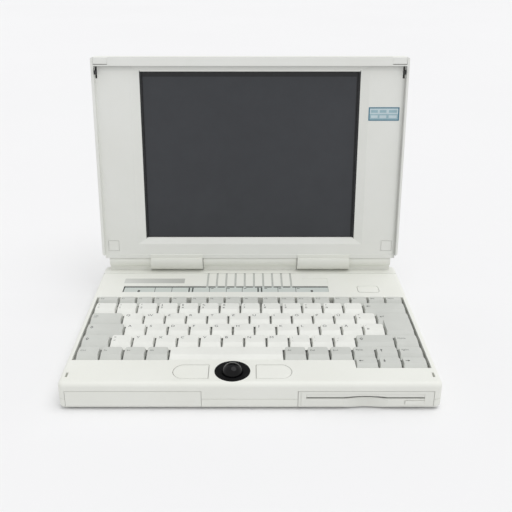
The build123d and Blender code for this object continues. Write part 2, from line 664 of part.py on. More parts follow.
bezel = block(*FLOPPY_X, 0, BEZEL_D, FOOT_H, BEZEL_TOP)
bezel = fillet(bezel.edges().filter_by(Axis.X).group_by(Axis.Z)[0].sort_by(Axis.Y)[0], BOTTOM_R)
bezel -= block(*SLOT_X, -1, BEZEL_D + 1, *SLOT_Z)
slot_low = SLOT_Z[0]
bezel -= prism_x([(-1, slot_low - SLOT_LIP - 1), (-1, slot_low + 1), (SLOT_LIP + 1, slot_low + 1)], *SLOT_X)
RIB_GROOVE = (FLOPPY_X[0] + 1.9, FLOPPY_X[0] + 2.3)
bezel -= block(*RIB_GROOVE, -1, 0.5, 0, BEZEL_TOP + 1)


def arc_radius(chord, rise):
    """Radius of an arc from its chord and its rise."""
    return (chord * chord / 4 + rise * rise) / (2 * rise)


GRIP_D = 2.8
grip_x = (GRIP_X[0] + GRIP_X[1]) / 2
grip_r = arc_radius(GRIP_X[1] - GRIP_X[0], GRIP_D)
bezel -= rod(grip_x, GRIP_D - grip_r, 0, SLOT_Z[0] + 1, grip_r)
bezel -= block(*eject_low, -1, BEZEL_D + 1, EJECT_Z[0] - FIT, EJECT_Z[1] + FIT)
save("floppy_bezel", bezel)

# Eject button: cap in the bezel and a tongue that runs into the drive
eject = block(*EJECT_X, -EJECT_PROUD, BEZEL_D + TONGUE_L, *EJECT_Z)
save("floppy_eject_button", eject)

# Dust door hung at the top of the slot, turning inwards
DOOR_T = 0.9
DOOR_Y = 0.3
DOOR_LOW = 11.8
DOOR_GAP = 0.12
DOOR_ARCH = 1.1
DOOR_PIVOT_Z = SLOT_Z[1] - DOOR_T / 2 - DOOR_GAP
DOOR_PIVOT_Y = DOOR_Y + DOOR_T / 2
door_x = (SLOT_X[0] + DOOR_GAP, SLOT_X[1] - DOOR_GAP)
door = block(*door_x, DOOR_Y, DOOR_Y + DOOR_T, DOOR_LOW, DOOR_PIVOT_Z)
door += rod_x(*door_x, DOOR_PIVOT_Y, DOOR_PIVOT_Z, DOOR_T / 2)
arch_r = arc_radius(GRIP_X[1] - GRIP_X[0], DOOR_ARCH)
door -= rod_y(DOOR_Y - 1, DOOR_Y + DOOR_T + 1, grip_x, DOOR_LOW + DOOR_ARCH - arch_r, arch_r)
save("floppy_door", door)

# Battery pack: shell with its front lip, and the cells in two columns
BATTERY_SKIN = 0.7
CELL_R = 6.55
CELL_L = 50.0
bx0, bx1 = BATTERY_X
pack = block(bx0, bx1, BATTERY_FRONT_D, BATTERY_D, FOOT_H, BATTERY_TOP)
pack += block(bx0, bx1, 0, BATTERY_FRONT_D, FOOT_H, BATTERY_FRONT_TOP)
pack = fillet(pack.edges().group_by(Axis.Z)[0].sort_by(Axis.Y)[0], BOTTOM_R)
cells = []
cell_z = (FOOT_H + BATTERY_TOP) / 2
for column in range(2):
    for line in range(5):
        x0 = (bx0 + bx1) / 2 - CELL_L - 0.5 + column * (CELL_L + 1.0)
        y = 5.0 + CELL_R + line * (2 * CELL_R + 0.9)
        cells.append(rod_x(x0, x0 + CELL_L, y, cell_z, CELL_R))
        pack -= rod_x(x0, x0 + CELL_L, y, cell_z, CELL_R)
save("battery_case", pack)
save("battery_cells", *cells)

# Trackball: ring, ball in two parts, housing, rollers and idler
ball_at = Pos(BALL_X, BALL_Y, BALL_Z)
RING_TOP = DECK_Z + 0.2
RING_LOW = DECK_Z - 1.3
ring = rod(BALL_X, BALL_Y, RING_LOW, RING_TOP, RING_R - SLIP)
dish_h = RING_TOP - RING_HOLE_Z
ring -= Pos(BALL_X, BALL_Y, RING_HOLE_Z + dish_h / 2) * Cone(RING_HOLE_R, RING_R - 0.8, dish_h)
ring -= ball_at * Sphere(BALL_R + 0.1)
save("trackball_ring", ring)

CORE_R = 5.0
save("ball_core", ball_at * Sphere(CORE_R))
save("ball_shell", ball_at * Sphere(BALL_R) - ball_at * Sphere(CORE_R + SLIP))

POCKET_R = BALL_R + 0.4
TOUCH = 0.02
reach = BALL_R + ROLLER_R + TOUCH
roller_out = reach * math.cos(ROLLER_TILT)
roller_z = BALL_Z - reach * math.sin(ROLLER_TILT)
roller_x_y = BALL_Y + roller_out
roller_y_x = BALL_X - roller_out
IDLER_R = 1.5
IDLER_W = 2.0
AXLE_R = 0.6
AXLE_HALF = 4.0
idler_reach = BALL_R + IDLER_R + TOUCH
idler_z = BALL_Z - idler_reach * math.sin(ROLLER_TILT)
idler_off = idler_reach * math.cos(ROLLER_TILT) / math.sqrt(2)
IDLER_AT = Pos(BALL_X + idler_off, BALL_Y - idler_off, idler_z) * Rot(0, 0, 45)
ROLLER_X_SPAN = (-20.5, -2.0)
ROLLER_Y_SPAN = (6.0, 23.0)
DISC_X = (-4.0, -3.0)
DISC_Y = (8.0, 9.0)
DISC_ROOM = 0.4

housing = block(-28.0, -0.5, 4.2, 30.6, 9.0, DECK_IN)
housing -= ball_at * Sphere(POCKET_R)
housing -= rod(BALL_X, BALL_Y, BALL_Z, DECK_Z, POCKET_R)


def roomy(span):
    """A length with running room at both ends."""
    return (span[0] - DISC_ROOM, span[1] + DISC_ROOM)


housing -= rod_x(*roomy(ROLLER_X_SPAN), roller_x_y, roller_z, ROLLER_R + SLIP)
housing -= rod_y(*roomy(ROLLER_Y_SPAN), roller_y_x, roller_z, ROLLER_R + SLIP)
housing -= rod_x(*roomy(DISC_X), roller_x_y, roller_z, DISC_R + DISC_ROOM)
housing -= rod_y(*roomy(DISC_Y), roller_y_x, roller_z, DISC_R + DISC_ROOM)
housing -= IDLER_AT * rod_x(-IDLER_W / 2 - FIT, IDLER_W / 2 + FIT, 0, 0, IDLER_R + FIT)
housing -= IDLER_AT * rod_x(-AXLE_HALF - FIT, AXLE_HALF + FIT, 0, 0, AXLE_R + SLIP)
save("trackball_housing", housing)
roller_x = rod_x(*ROLLER_X_SPAN, roller_x_y, roller_z, ROLLER_R)
roller_x += rod_x(*DISC_X, roller_x_y, roller_z, DISC_R)
roller_y = rod_y(*ROLLER_Y_SPAN, roller_y_x, roller_z, ROLLER_R)
roller_y += rod_y(*DISC_Y, roller_y_x, roller_z, DISC_R)
save("roller_fore_aft", roller_x)
save("roller_sideways", roller_y)
idler = rod_x(-IDLER_W / 2, IDLER_W / 2, 0, 0, IDLER_R) + rod_x(-AXLE_HALF, AXLE_HALF, 0, 0, AXLE_R)
save("ball_idler", IDLER_AT * idler)

# Pointer buttons with their switch boards
PAD_FLANGE_Z = (DECK_IN - 0.9, DECK_IN - 0.2)
for side, name in ((-1, "pointer_button_left"), (1, "pointer_button_right")):
    pad = pad_prism(side, 0, PAD_FLANGE_Z[1] - 0.1, DECK_Z + BUTTON_PROUD)
    pad += pad_prism(side, 1.0, *PAD_FLANGE_Z)
    pad = fillet(pad.faces().sort_by(Axis.Z)[-1].edges(), 0.4)
    save(name, pad)
switch_boards = []
pad_mid = (PAD_NEAR + PAD_FAR) / 2
pad_y = (PAD_Y[0] + PAD_Y[1]) / 2
SWITCH_W = 6.0
SWITCH_H = 1.7
for x0, x1, x in ((-60.0, -36.6, BALL_X - pad_mid), (6.0, 34.4, BALL_X + pad_mid)):
    board_top = SWITCH_BOARD_Z + SWITCH_BOARD_T
    part = block(x0, x1, 10.0, 30.8, SWITCH_BOARD_Z, board_top)
    part += Pos(x, pad_y, board_top + SWITCH_H / 2) * Box(SWITCH_W, SWITCH_W, SWITCH_H)
    switch_boards.append(part)
save("pointer_switch_boards", *switch_boards)

# Display cable, cut where it turns on the hinge axis
PLUG_TOP = CHIP_Z + 4.0
cable = rod_x(CABLE_JOIN_X, CABLE_X, HINGE_Y, HINGE_Z, CABLE_R)
cable += rod(CABLE_X, HINGE_Y, PLUG_TOP, HINGE_Z, CABLE_R) + Pos(CABLE_X, HINGE_Y, HINGE_Z) * Sphere(CABLE_R)
save("display_cable_base", cable)

# Lid, drawn upright: X right, Y back through its thickness, Z up from the hinge axis


def deep(n):
    """Y on the lid of a depth counted from the front of its rim."""
    return n - LID_T / 2


def slab(x0, x1, n0, n1, t0, t1):
    """Box on the lid, from depths and heights."""
    return block(x0, x1, deep(n0), deep(n1), t0, t1)


def bolt(x, t, n0, n1, r):
    """Cylinder through the lid's thickness."""
    return rod_y(deep(n0), deep(n1), x, t, r)


CAVITY_T = (LID_FOOT + WALL, LID_L - WALL)
FACE_N = 3.4
BALL_ROOM = 0.5
FACE_BACK_N = 5.2
RIM_W = 2.5
RIM_T = LID_FOOT + 188.1
FRAME_X = 112.6
FRAME_T0 = LID_FOOT + 11.2
WINDOW_X = 102.4
WINDOW_T = (LID_FOOT + 17.6, LID_FOOT + 182.4)
WINDOW_N = 5.6
GLASS_N = 7.0
SLEEVE = 1.4
SKIRT_X = LID_HALF_W - 2.5
SKIRT_T = 3.6
SKIRT_N = (3.0, 3.2, 3.9)
SKIRT_STEP = 2.0
BUMP_N = 2.0


def back_rounded(body, axis):
    """A lid block with its two rear edges along one axis rounded."""
    return fillet(body.edges().filter_by(axis).group_by(Axis.Y)[-1], FRONT_R)


lid = slab(-LID_HALF_W, LID_HALF_W, 0, LID_T, LID_FOOT, LID_L)
lid = fillet(lid.edges().filter_by(Axis.Y).group_by(Axis.Z)[-1], LID_TOP_R)
lid = fillet(lid.edges().filter_by(Axis.Y).group_by(Axis.Z)[0], LID_LOW_R)
lid &= back_rounded(slab(-HALF_W, HALF_W, -1, LID_T, LID_FOOT, LID_L), Axis.X)
lid &= back_rounded(slab(-LID_HALF_W, LID_HALF_W, -1, LID_T, 0, LID_L + 1), Axis.Z)

bezel = lid & slab(-HALF_W, HALF_W, -1, LID_SPLIT, 0, LID_L + 1)
bezel -= slab(-LID_IN_W, LID_IN_W, FACE_BACK_N, LID_SPLIT + 1, *CAVITY_T)
bezel -= slab(-LID_HALF_W + RIM_W, LID_HALF_W - RIM_W, -1, FACE_N, 0, RIM_T)
sleeve_x = WINDOW_X + SLEEVE
bezel += slab(-sleeve_x, sleeve_x, FACE_BACK_N, GLASS_N, WINDOW_T[0] - SLEEVE, WINDOW_T[1] + SLEEVE)


def window_face(n, half_x, t0, t1):
    """Rectangle across the lid at a depth."""
    across = Plane((0, deep(n), (t0 + t1) / 2), x_dir=(1, 0, 0), z_dir=(0, 1, 0))
    return across * Rectangle(2 * half_x, t1 - t0)


outer_edge = window_face(FACE_N, FRAME_X, FRAME_T0, RIM_T)
inner_edge = window_face(WINDOW_N, WINDOW_X, *WINDOW_T)
bezel -= loft([outer_edge, inner_edge], ruled=True)
bezel -= slab(-WINDOW_X, WINDOW_X, 0, GLASS_N + 1, *WINDOW_T)
bezel -= Pos(BALL_X, BALL_Z - HINGE_Z, HINGE_Y - BALL_Y) * Sphere(BALL_R + BALL_ROOM)
skirt_points = [
    (deep(SKIRT_N[0]), LID_FOOT + 0.2),
    (deep(SKIRT_N[1]), SKIRT_T),
    (deep(SKIRT_N[2]), SKIRT_T),
    (deep(FACE_BACK_N), SKIRT_T + SKIRT_STEP),
    (deep(FACE_BACK_N), LID_FOOT + 0.2),
]
skirt = prism_x(skirt_points, -SKIRT_X, SKIRT_X)
for side in (-1, 1):
    k0, k1 = sorted((side * KNUCKLE_X[0], side * KNUCKLE_X[1]))
    skirt -= slab(k0 - SLIP, k1 + SLIP, 0, LID_T, 0, LID_FOOT)
bezel += skirt
CAP_X = (LID_HALF_W - 16.4, LID_HALF_W - 6.3)
CAP_T = (LID_FOOT + 4.3, LID_FOOT + 14.6)
CAP_N = (FACE_N - 0.1, FACE_N + 1.0)
CAP_GAP = 0.3
cap_x = (CAP_X[0] + CAP_X[1]) / 2
cap_t = (CAP_T[0] + CAP_T[1]) / 2
LID_SCREW_R = 1.2
LID_HEAD_R = 2.6
HEAD_N = (FACE_N + 1.3, FACE_N + 2.8)
SCREW_END_N = 16.0
SMALL_HEAD = (1.2, 2.2)
lid_screws = []
LATCH_BUTTON_X = (LID_HALF_W - 15.5, LID_HALF_W - 2.3)
LATCH_BUTTON_T = (LID_FOOT + 189.8, LID_L)
LATCH_SLOT_T = (LID_FOOT + 176.2, LID_FOOT + 187.2)
LATCH_SIDE = 0.15
LATCH_SEAM = 0.6
HOOK_T = (HINGE_Y - 15.0, HINGE_Y - 11.6)
HOOK_W = 1.2
HOOK_TIP_N = -4.0
for side in (-1, 1):
    x0, x1 = sorted((side * CAP_X[0], side * CAP_X[1]))
    bezel += bolt(side * cap_x, cap_t, FACE_BACK_N - 0.5, LID_SPLIT, LID_HEAD_R + 1.4)
    bezel -= slab(x0 - CAP_GAP, x1 + CAP_GAP, 0, CAP_N[1], CAP_T[0] - CAP_GAP, CAP_T[1] + CAP_GAP)
    bezel -= bolt(side * cap_x, cap_t, CAP_N[1] - 0.1, HEAD_N[1], LID_HEAD_R)
    bezel -= bolt(side * cap_x, cap_t, HEAD_N[1] - 0.1, LID_SPLIT + 1, LID_SCREW_R)
    screw = bolt(side * cap_x, cap_t, *HEAD_N, LID_HEAD_R)
    lid_screws.append(screw + bolt(side * cap_x, cap_t, HEAD_N[1], SCREW_END_N, LID_SCREW_R))
    x0, x1 = sorted((side * (LATCH_BUTTON_X[0] - LATCH_SIDE), side * (LATCH_BUTTON_X[1] + LATCH_SIDE)))
    bezel -= slab(x0, x1, -1, LID_SPLIT + 1, LATCH_BUTTON_T[0] - LATCH_SEAM, LID_L + 1)
    slot_half = LATCH_SLOT_W / 2
    bezel -= slab(side * LATCH_X - slot_half, side * LATCH_X + slot_half, -1, FACE_BACK_N + 1, *LATCH_SLOT_T)
save_lid("lid_bezel", bezel)

cover = lid & slab(-HALF_W, HALF_W, LID_SPLIT, LID_T + 1, 0, LID_L + 1)
cover -= slab(-LID_IN_W, LID_IN_W, LID_SPLIT - 1, LID_T - WALL, *CAVITY_T)
cover -= rod_x(-HALF_W - 1, HALF_W + 1, 0, 0, BAR_R + 0.5)
for side in (-1, 1):
    k0, k1 = sorted((side * KNUCKLE_X[0], side * KNUCKLE_X[1]))
    knuckle = rod_x(k0, k1, 0, 0, KNUCKLE_R) & slab(k0, k1, 0, LID_T, -LID_T, SKIRT_T)
    knuckle += slab(k0, k1, BUMP_N, LID_T, 0, LID_FOOT)
    knuckle -= rod_x(k0 + WALL, k1 - WALL, 0, 0, KNUCKLE_R - WALL)
    knuckle -= slab(k0 + WALL, k1 - WALL, BUMP_N + WALL, LID_T - WALL, 0, LID_FOOT)
    cover += knuckle
    cover -= slab(k0 + WALL, k1 - WALL, LID_SPLIT + SLIP, LID_T - WALL, 0, CAVITY_T[0] + 0.1)
    cover -= rod_x(*sorted((side * 90.0, side * 103.0)), 0, 0, PIN_R + SLIP)
cover -= rod_x(-60.0, CABLE_JOIN_X, 0, 0, CABLE_R + FIT)

# Bosses in the cover: bezel screws, display frame, hinge arms, inverter
ARM_X = (78.0, 92.0)
ARM_Y = (4.0, 6.0)
ARM_T = 60.0
ARM_BOLTS = (30.0, 52.0)
EAR_T = (34.0, 180.0)
EAR_X = 111.0
EAR_N = (11.4, 13.0)
INVERTER = (116.0, 138.0, 44.0, 150.0)
INVERTER_N = (12.0, 13.6)
inner_back = LID_T - WALL + 0.5
arm_x = (ARM_X[0] + ARM_X[1]) / 2
arm_n = (ARM_Y[0] + LID_T / 2, ARM_Y[1] + LID_T / 2)
for side in (-1, 1):
    cover += bolt(side * cap_x, cap_t, LID_SPLIT, inner_back, 3.2)
    cover -= bolt(side * cap_x, cap_t, LID_SPLIT - 1, SCREW_END_N, LID_SCREW_R)
    for t in ARM_BOLTS:
        cover += bolt(side * arm_x, t, arm_n[1], inner_back, 3.0)
        cover -= bolt(side * arm_x, t, arm_n[1], LID_T - WALL, LID_SCREW_R)
        shaft = bolt(side * arm_x, t, arm_n[0], LID_T - WALL, LID_SCREW_R)
        lid_screws.append(shaft + bolt(side * arm_x, t, arm_n[0] - SMALL_HEAD[0], arm_n[0], SMALL_HEAD[1]))
    for t in EAR_T:
        cover += bolt(side * EAR_X, t, EAR_N[1], inner_back, 2.6)
        cover -= bolt(side * EAR_X, t, EAR_N[1] - 1, LID_T - WALL, LID_SCREW_R)
        shaft = bolt(side * EAR_X, t, EAR_N[0], LID_T - WALL, LID_SCREW_R)
        lid_screws.append(shaft + bolt(side * EAR_X, t, EAR_N[0] - SMALL_HEAD[0], EAR_N[0], SMALL_HEAD[1]))
for t in (INVERTER[2] + 6, INVERTER[3] - 6):
    cover += bolt(INVERTER[1] - 6, t, INVERTER_N[1], inner_back, 2.6)
save_lid("lid_rear_cover", cover)

SCREEN_X = 106.0
SCREEN_T = (LID_FOOT + 14.0, LID_FOOT + 186.0)
SCREEN_BACK_N = 10.0
TRAY = 2.0
tray_x = SCREEN_X + TRAY
screen_frame = slab(-tray_x, tray_x, GLASS_N, EAR_N[1], SCREEN_T[0] - TRAY, SCREEN_T[1] + TRAY)
screen_frame -= slab(-SCREEN_X, SCREEN_X, GLASS_N - 1, SCREEN_BACK_N, *SCREEN_T)
for side in (-1, 1):
    for t in EAR_T:
        x0, x1 = sorted((side * (SCREEN_X + 1), side * (EAR_X + 3)))
        ear = slab(x0, x1, *EAR_N, t - 4, t + 4)
        ear -= bolt(side * EAR_X, t, EAR_N[0] - 1, EAR_N[1] + 1, LID_SCREW_R)
        screen_frame -= bolt(side * EAR_X, t, EAR_N[0] - SMALL_HEAD[0] - 0.1, EAR_N[0], SMALL_HEAD[1] + 0.1)
        screen_frame += ear
save_lid("display_frame", screen_frame)
save_lid("display_panel", slab(-SCREEN_X, SCREEN_X, GLASS_N, SCREEN_BACK_N, *SCREEN_T))

inverter = slab(*INVERTER[:2], *INVERTER_N, *INVERTER[2:])
for t, height in ((60.0, 3.0), (84.0, 4.0), (112.0, 2.6), (134.0, 3.4)):
    inverter += slab(INVERTER[0] + 5, INVERTER[1] - 5, INVERTER_N[0] - height, INVERTER_N[0], t - 7, t + 7)
save_lid("inverter_board", inverter)

arms = []
for side in (-1, 1):
    x0, x1 = sorted((side * ARM_X[0], side * ARM_X[1]))
    arm = rod_x(x0, x1, 0, 0, BARREL_R) + block(x0, x1, 0, ARM_Y[1], -2.0, 2.0)
    arm += block(x0, x1, *ARM_Y, 0, ARM_T)
    arm += rod_x(*sorted((side * ARM_X[0], side * (BRACKET_X[1] + 1.0))), 0, 0, PIN_R)
    for t in ARM_BOLTS:
        arm -= bolt(side * arm_x, t, arm_n[0] - 1, arm_n[1] + 1, LID_SCREW_R)
    arms.append(arm)
save_lid("hinge_arms", *arms)
save_lid("lid_screws", *lid_screws)

caps = [slab(*sorted((side * CAP_X[0], side * CAP_X[1])), *CAP_N, *CAP_T) for side in (-1, 1)]
save_lid("screw_covers", *caps)
STICKER = (LID_HALF_W - 35.6, LID_HALF_W - 6.4, LID_FOOT + 136.3, LID_FOOT + 149.1)
save_lid("lid_sticker", slab(*STICKER[:2], FACE_N - 0.2, FACE_N, *STICKER[2:]))

for side, name in ((-1, "latch_left"), (1, "latch_right")):
    x0, x1 = sorted((side * LATCH_BUTTON_X[0], side * LATCH_BUTTON_X[1]))
    hx = side * LATCH_X
    latch = slab(x0, x1, 0.4, LID_SPLIT - FIT, *LATCH_BUTTON_T)
    hook_x = (hx - HOOK_W / 2, hx + HOOK_W / 2)
    latch += slab(*hook_x, FACE_BACK_N + FIT, LID_SPLIT - FIT, HOOK_T[0], LATCH_BUTTON_T[0] + 0.5)
    latch += slab(*hook_x, HOOK_TIP_N, LID_SPLIT - FIT, *HOOK_T)
    latch -= slab(*hook_x, -2.6, 0.0, HOOK_T[0] - 1, HOOK_T[0] + 0.9)
    save_lid(name, latch)

KNEE_X = -60.0
lid_cable = rod_x(KNEE_X, CABLE_JOIN_X, 0, 0, CABLE_R)
lid_cable += rod(KNEE_X, 0, 0, SCREEN_T[0] - TRAY, CABLE_R)
save_lid("display_cable_lid", lid_cable + Pos(KNEE_X, 0, 0) * Sphere(CABLE_R))
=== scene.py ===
import json
import math

import bpy
from mathutils import Matrix, Vector


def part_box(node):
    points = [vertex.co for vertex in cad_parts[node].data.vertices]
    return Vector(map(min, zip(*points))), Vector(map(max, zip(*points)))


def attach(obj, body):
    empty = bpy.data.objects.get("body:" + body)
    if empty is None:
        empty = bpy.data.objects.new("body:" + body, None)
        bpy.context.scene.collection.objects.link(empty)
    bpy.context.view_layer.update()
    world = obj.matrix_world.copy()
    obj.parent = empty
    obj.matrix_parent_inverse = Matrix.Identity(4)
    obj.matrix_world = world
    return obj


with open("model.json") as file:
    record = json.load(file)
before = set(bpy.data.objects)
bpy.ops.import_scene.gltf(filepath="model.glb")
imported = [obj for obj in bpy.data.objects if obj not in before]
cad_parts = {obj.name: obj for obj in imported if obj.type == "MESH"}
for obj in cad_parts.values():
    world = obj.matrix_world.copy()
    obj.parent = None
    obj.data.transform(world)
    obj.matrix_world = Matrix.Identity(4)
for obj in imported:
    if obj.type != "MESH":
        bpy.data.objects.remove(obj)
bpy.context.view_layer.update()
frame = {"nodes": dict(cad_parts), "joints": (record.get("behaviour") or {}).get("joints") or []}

bl_info = {
    "name": "Notebook Computer Dressing",
    "version": (1, 0, 0),
    "blender": (4, 5, 0),
    "location": "3D View > Sidebar > Notebook",
    "description": "Finishes, key legends and small marks for an early notebook computer, and a stage",
    "category": "Object",
}

NODES = frame["nodes"]
MM = 0.001

# The lid at rest: where its hinge is, read from the frame, and how far it leans back
HINGE = next(j for j in frame["joints"] if j["name"] == "lid_hinge")
HINGE_AT = Vector(HINGE["pos_m"])
LID_LEAN = math.radians(4.4)
TO_LID = Matrix.Translation(HINGE_AT) @ Matrix.Rotation(-LID_LEAN, 4, "X")


def linear(red, green, blue):
    """Scene-linear colour of a screen colour from 0 to 255."""
    out = []
    for value in (red, green, blue):
        share = value / 255
        out.append(share / 12.92 if share <= 0.04045 else ((share + 0.055) / 1.055) ** 2.4)
    return (*out, 1.0)


def tint(color, factor):
    """The colour, lighter or darker."""
    return (*(min(1.0, c * factor) for c in color[:3]), 1.0)


# Settings


class FinishSettings(bpy.types.PropertyGroup):
    """Colours and surface of the notebook's plastics."""

    casing: bpy.props.FloatVectorProperty(
        name="Casing", description="Off-white of the base and the lid", subtype="COLOR", size=4,
        min=0, max=1, default=linear(233, 234, 228),
    )
    bezel: bpy.props.FloatVectorProperty(
        name="Bezel", description="Off-white of the lid's face", subtype="COLOR", size=4,
        min=0, max=1, default=linear(233, 234, 230),
    )
    white_key: bpy.props.FloatVectorProperty(
        name="White keys", description="Letter and digit keys", subtype="COLOR", size=4,
        min=0, max=1, default=linear(234, 235, 230),
    )
    grey_key: bpy.props.FloatVectorProperty(
        name="Grey keys", description="Function, edge and cursor keys", subtype="COLOR", size=4,
        min=0, max=1, default=linear(204, 206, 201),
    )
    legend: bpy.props.FloatVectorProperty(
        name="Legends", description="Ink of the key legends", subtype="COLOR", size=4,
        min=0, max=1, default=linear(66, 69, 69),
    )
    screen: bpy.props.FloatVectorProperty(
        name="Screen", description="Display switched off", subtype="COLOR", size=4,
        min=0, max=1, default=linear(58, 60, 64),
    )
    grain: bpy.props.FloatProperty(
        name="Grain depth", description="Strength of the moulded grain on the plastics", subtype="FACTOR",
        min=0, max=1, default=0.12,
    )
    wear: bpy.props.FloatProperty(
        name="Wear", description="How far age and handling shade the plastics", subtype="FACTOR",
        min=0, max=1, default=0.5,
    )


class MarkSettings(bpy.types.PropertyGroup):
    """Sizes of the legends and marks."""

    letter: bpy.props.FloatProperty(
        name="Letter height", description="Size of a single letter on a key", subtype="DISTANCE",
        unit="LENGTH", min=0.0005, max=0.01, default=3.3 * MM,
    )
    small: bpy.props.FloatProperty(
        name="Small lettering", description="Size of short words and signs on the keys", subtype="DISTANCE",
        unit="LENGTH", min=0.0005, max=0.01, default=2.0 * MM,
    )
    lift: bpy.props.FloatProperty(
        name="Print lift", description="How far printed marks stand off the surface", subtype="DISTANCE",
        unit="LENGTH", min=0.000005, max=0.001, default=0.03 * MM,
    )
    # The dark marks' colour is also used for the painted shade lines at the indicator window's left end and
    # rear edge
    ink: bpy.props.FloatVectorProperty(
        name="Panel marks", description="Dark marks of the indicator window", subtype="COLOR", size=4,
        min=0, max=1, default=linear(58, 63, 62),
    )
    # Painted shade on the floors of the deck's grooves; a darker tint of it is painted along the crease
    groove: bpy.props.FloatVectorProperty(
        name="Grooves", description="Shade on the floors of the deck's grooves", subtype="COLOR", size=4,
        min=0, max=1, default=linear(196, 198, 194),
    )
    sticker_edge: bpy.props.FloatVectorProperty(
        name="Sticker border", description="Border of the sticker", subtype="COLOR", size=4,
        min=0, max=1, default=linear(72, 124, 146),
    )
    sticker_field: bpy.props.FloatVectorProperty(
        name="Sticker field", description="Upper field of the sticker", subtype="COLOR", size=4,
        min=0, max=1, default=linear(200, 216, 222),
    )


class StageSettings(bpy.types.PropertyGroup):
    """Floor, light and camera."""

    floor: bpy.props.FloatVectorProperty(
        name="Floor", description="Colour of the floor", subtype="COLOR", size=4,
        min=0, max=1, default=linear(240, 240, 241),
    )
    sky: bpy.props.FloatProperty(
        name="Sky light", description="Strength of the even light from all round",
        min=0, max=2, default=0.7,
    )
    lamp: bpy.props.FloatProperty(
        name="Key light", description="Strength of the broad light from above", min=0, max=10, default=1.2,
    )
    lens: bpy.props.FloatProperty(
        name="Lens", description="Focal length on a 36 mm wide sensor", subtype="DISTANCE_CAMERA",
        unit="CAMERA", min=10, max=300, default=51.19,
    )
    pitch: bpy.props.FloatProperty(
        name="Camera pitch", description="How far the camera looks down", subtype="ANGLE", unit="ROTATION",
        default=math.radians(22),
    )
    camera_back: bpy.props.FloatProperty(
        name="Camera distance", description="How far in front of the origin the camera stands",
        subtype="DISTANCE", unit="LENGTH", default=0.5872,
    )
    camera_up: bpy.props.FloatProperty(
        name="Camera height", description="Height of the camera over the table", subtype="DISTANCE",
        unit="LENGTH", default=0.3527,
    )


# Materials


class Finish:
    """One procedural material, built node by node on a Principled shader."""

    def __init__(self, name, roughness=0.5, metallic=0.0, specular=0.5):
        self.material = bpy.data.materials.new(name)
        self.material.use_nodes = True
        self.tree = self.material.node_tree
        self.shader = self.tree.nodes["Principled BSDF"]
        start = {"Roughness": roughness, "Metallic": metallic, "Specular IOR Level": specular}
        for socket, value in start.items():
            self.shader.inputs[socket].default_value = value
        self.place = self.node("ShaderNodeTexCoord").outputs["Object"]

    def node(self, kind, links=(), **settings):
        """A node with its settings, and its input sockets linked or set."""
        made = self.tree.nodes.new(kind)
        for key, value in settings.items():
            setattr(made, key, value)
        for socket, source in dict(links).items():
            if isinstance(source, bpy.types.NodeSocket):
                self.tree.links.new(source, made.inputs[socket])
            else:
                made.inputs[socket].default_value = source
        return made

    def feed(self, socket, source):
        """Links a value or colour to a socket of the shader."""
        self.tree.links.new(source, self.shader.inputs[socket])

    def noise(self, scale, detail=2.0, roughness=0.5, place=None):
        """Cloudy noise from 0 to 1."""
        links = {"Vector": place or self.place, "Scale": scale, "Detail": detail, "Roughness": roughness}
        return self.node("ShaderNodeTexNoise", links).outputs["Fac"]

    def cells(self, scale):
        """Distance to the nearest of many scattered points."""
        links = {"Vector": self.place, "Scale": scale}
        return self.node("ShaderNodeTexVoronoi", links).outputs["Distance"]

    def stretched(self, x=1.0, y=1.0, z=1.0):
        """The object's coordinates, stretched along its axes."""
        return self.node("ShaderNodeMapping", {"Vector": self.place, "Scale": (x, y, z)}).outputs["Vector"]

    def along(self, axis):
        """One coordinate of the surface, in metres."""
        return self.node("ShaderNodeSeparateXYZ", {"Vector": self.place}).outputs[axis]

    def band(self, value, low, high, to_low=0.0, to_high=1.0):
        """A value moved from one range to another."""
        links = {0: value, 1: low, 2: high, 3: to_low, 4: to_high}
        return self.node("ShaderNodeMapRange", links).outputs[0]

    def joined(self, operation, first, second):
        """Two values joined by one operation."""
        return self.node("ShaderNodeMath", {0: first, 1: second}, operation=operation).outputs[0]

    def ramp(self, value, *stops):
        """Colours along a value: each stop is a place and a colour."""
        made = self.node("ShaderNodeValToRGB", {"Fac": value})
        elements = made.color_ramp.elements
        while len(elements) < len(stops):
            elements.new(1.0)
        for element, (place, color) in zip(elements, stops):
            element.position = place
            element.color = color
        return made.outputs["Color"]

    def bump(self, height, strength, depth):
        """Fine relief of a given depth."""
        links = {"Height": height, "Strength": strength, "Distance": depth}
        self.feed("Normal", self.node("ShaderNodeBump", links).outputs["Normal"])


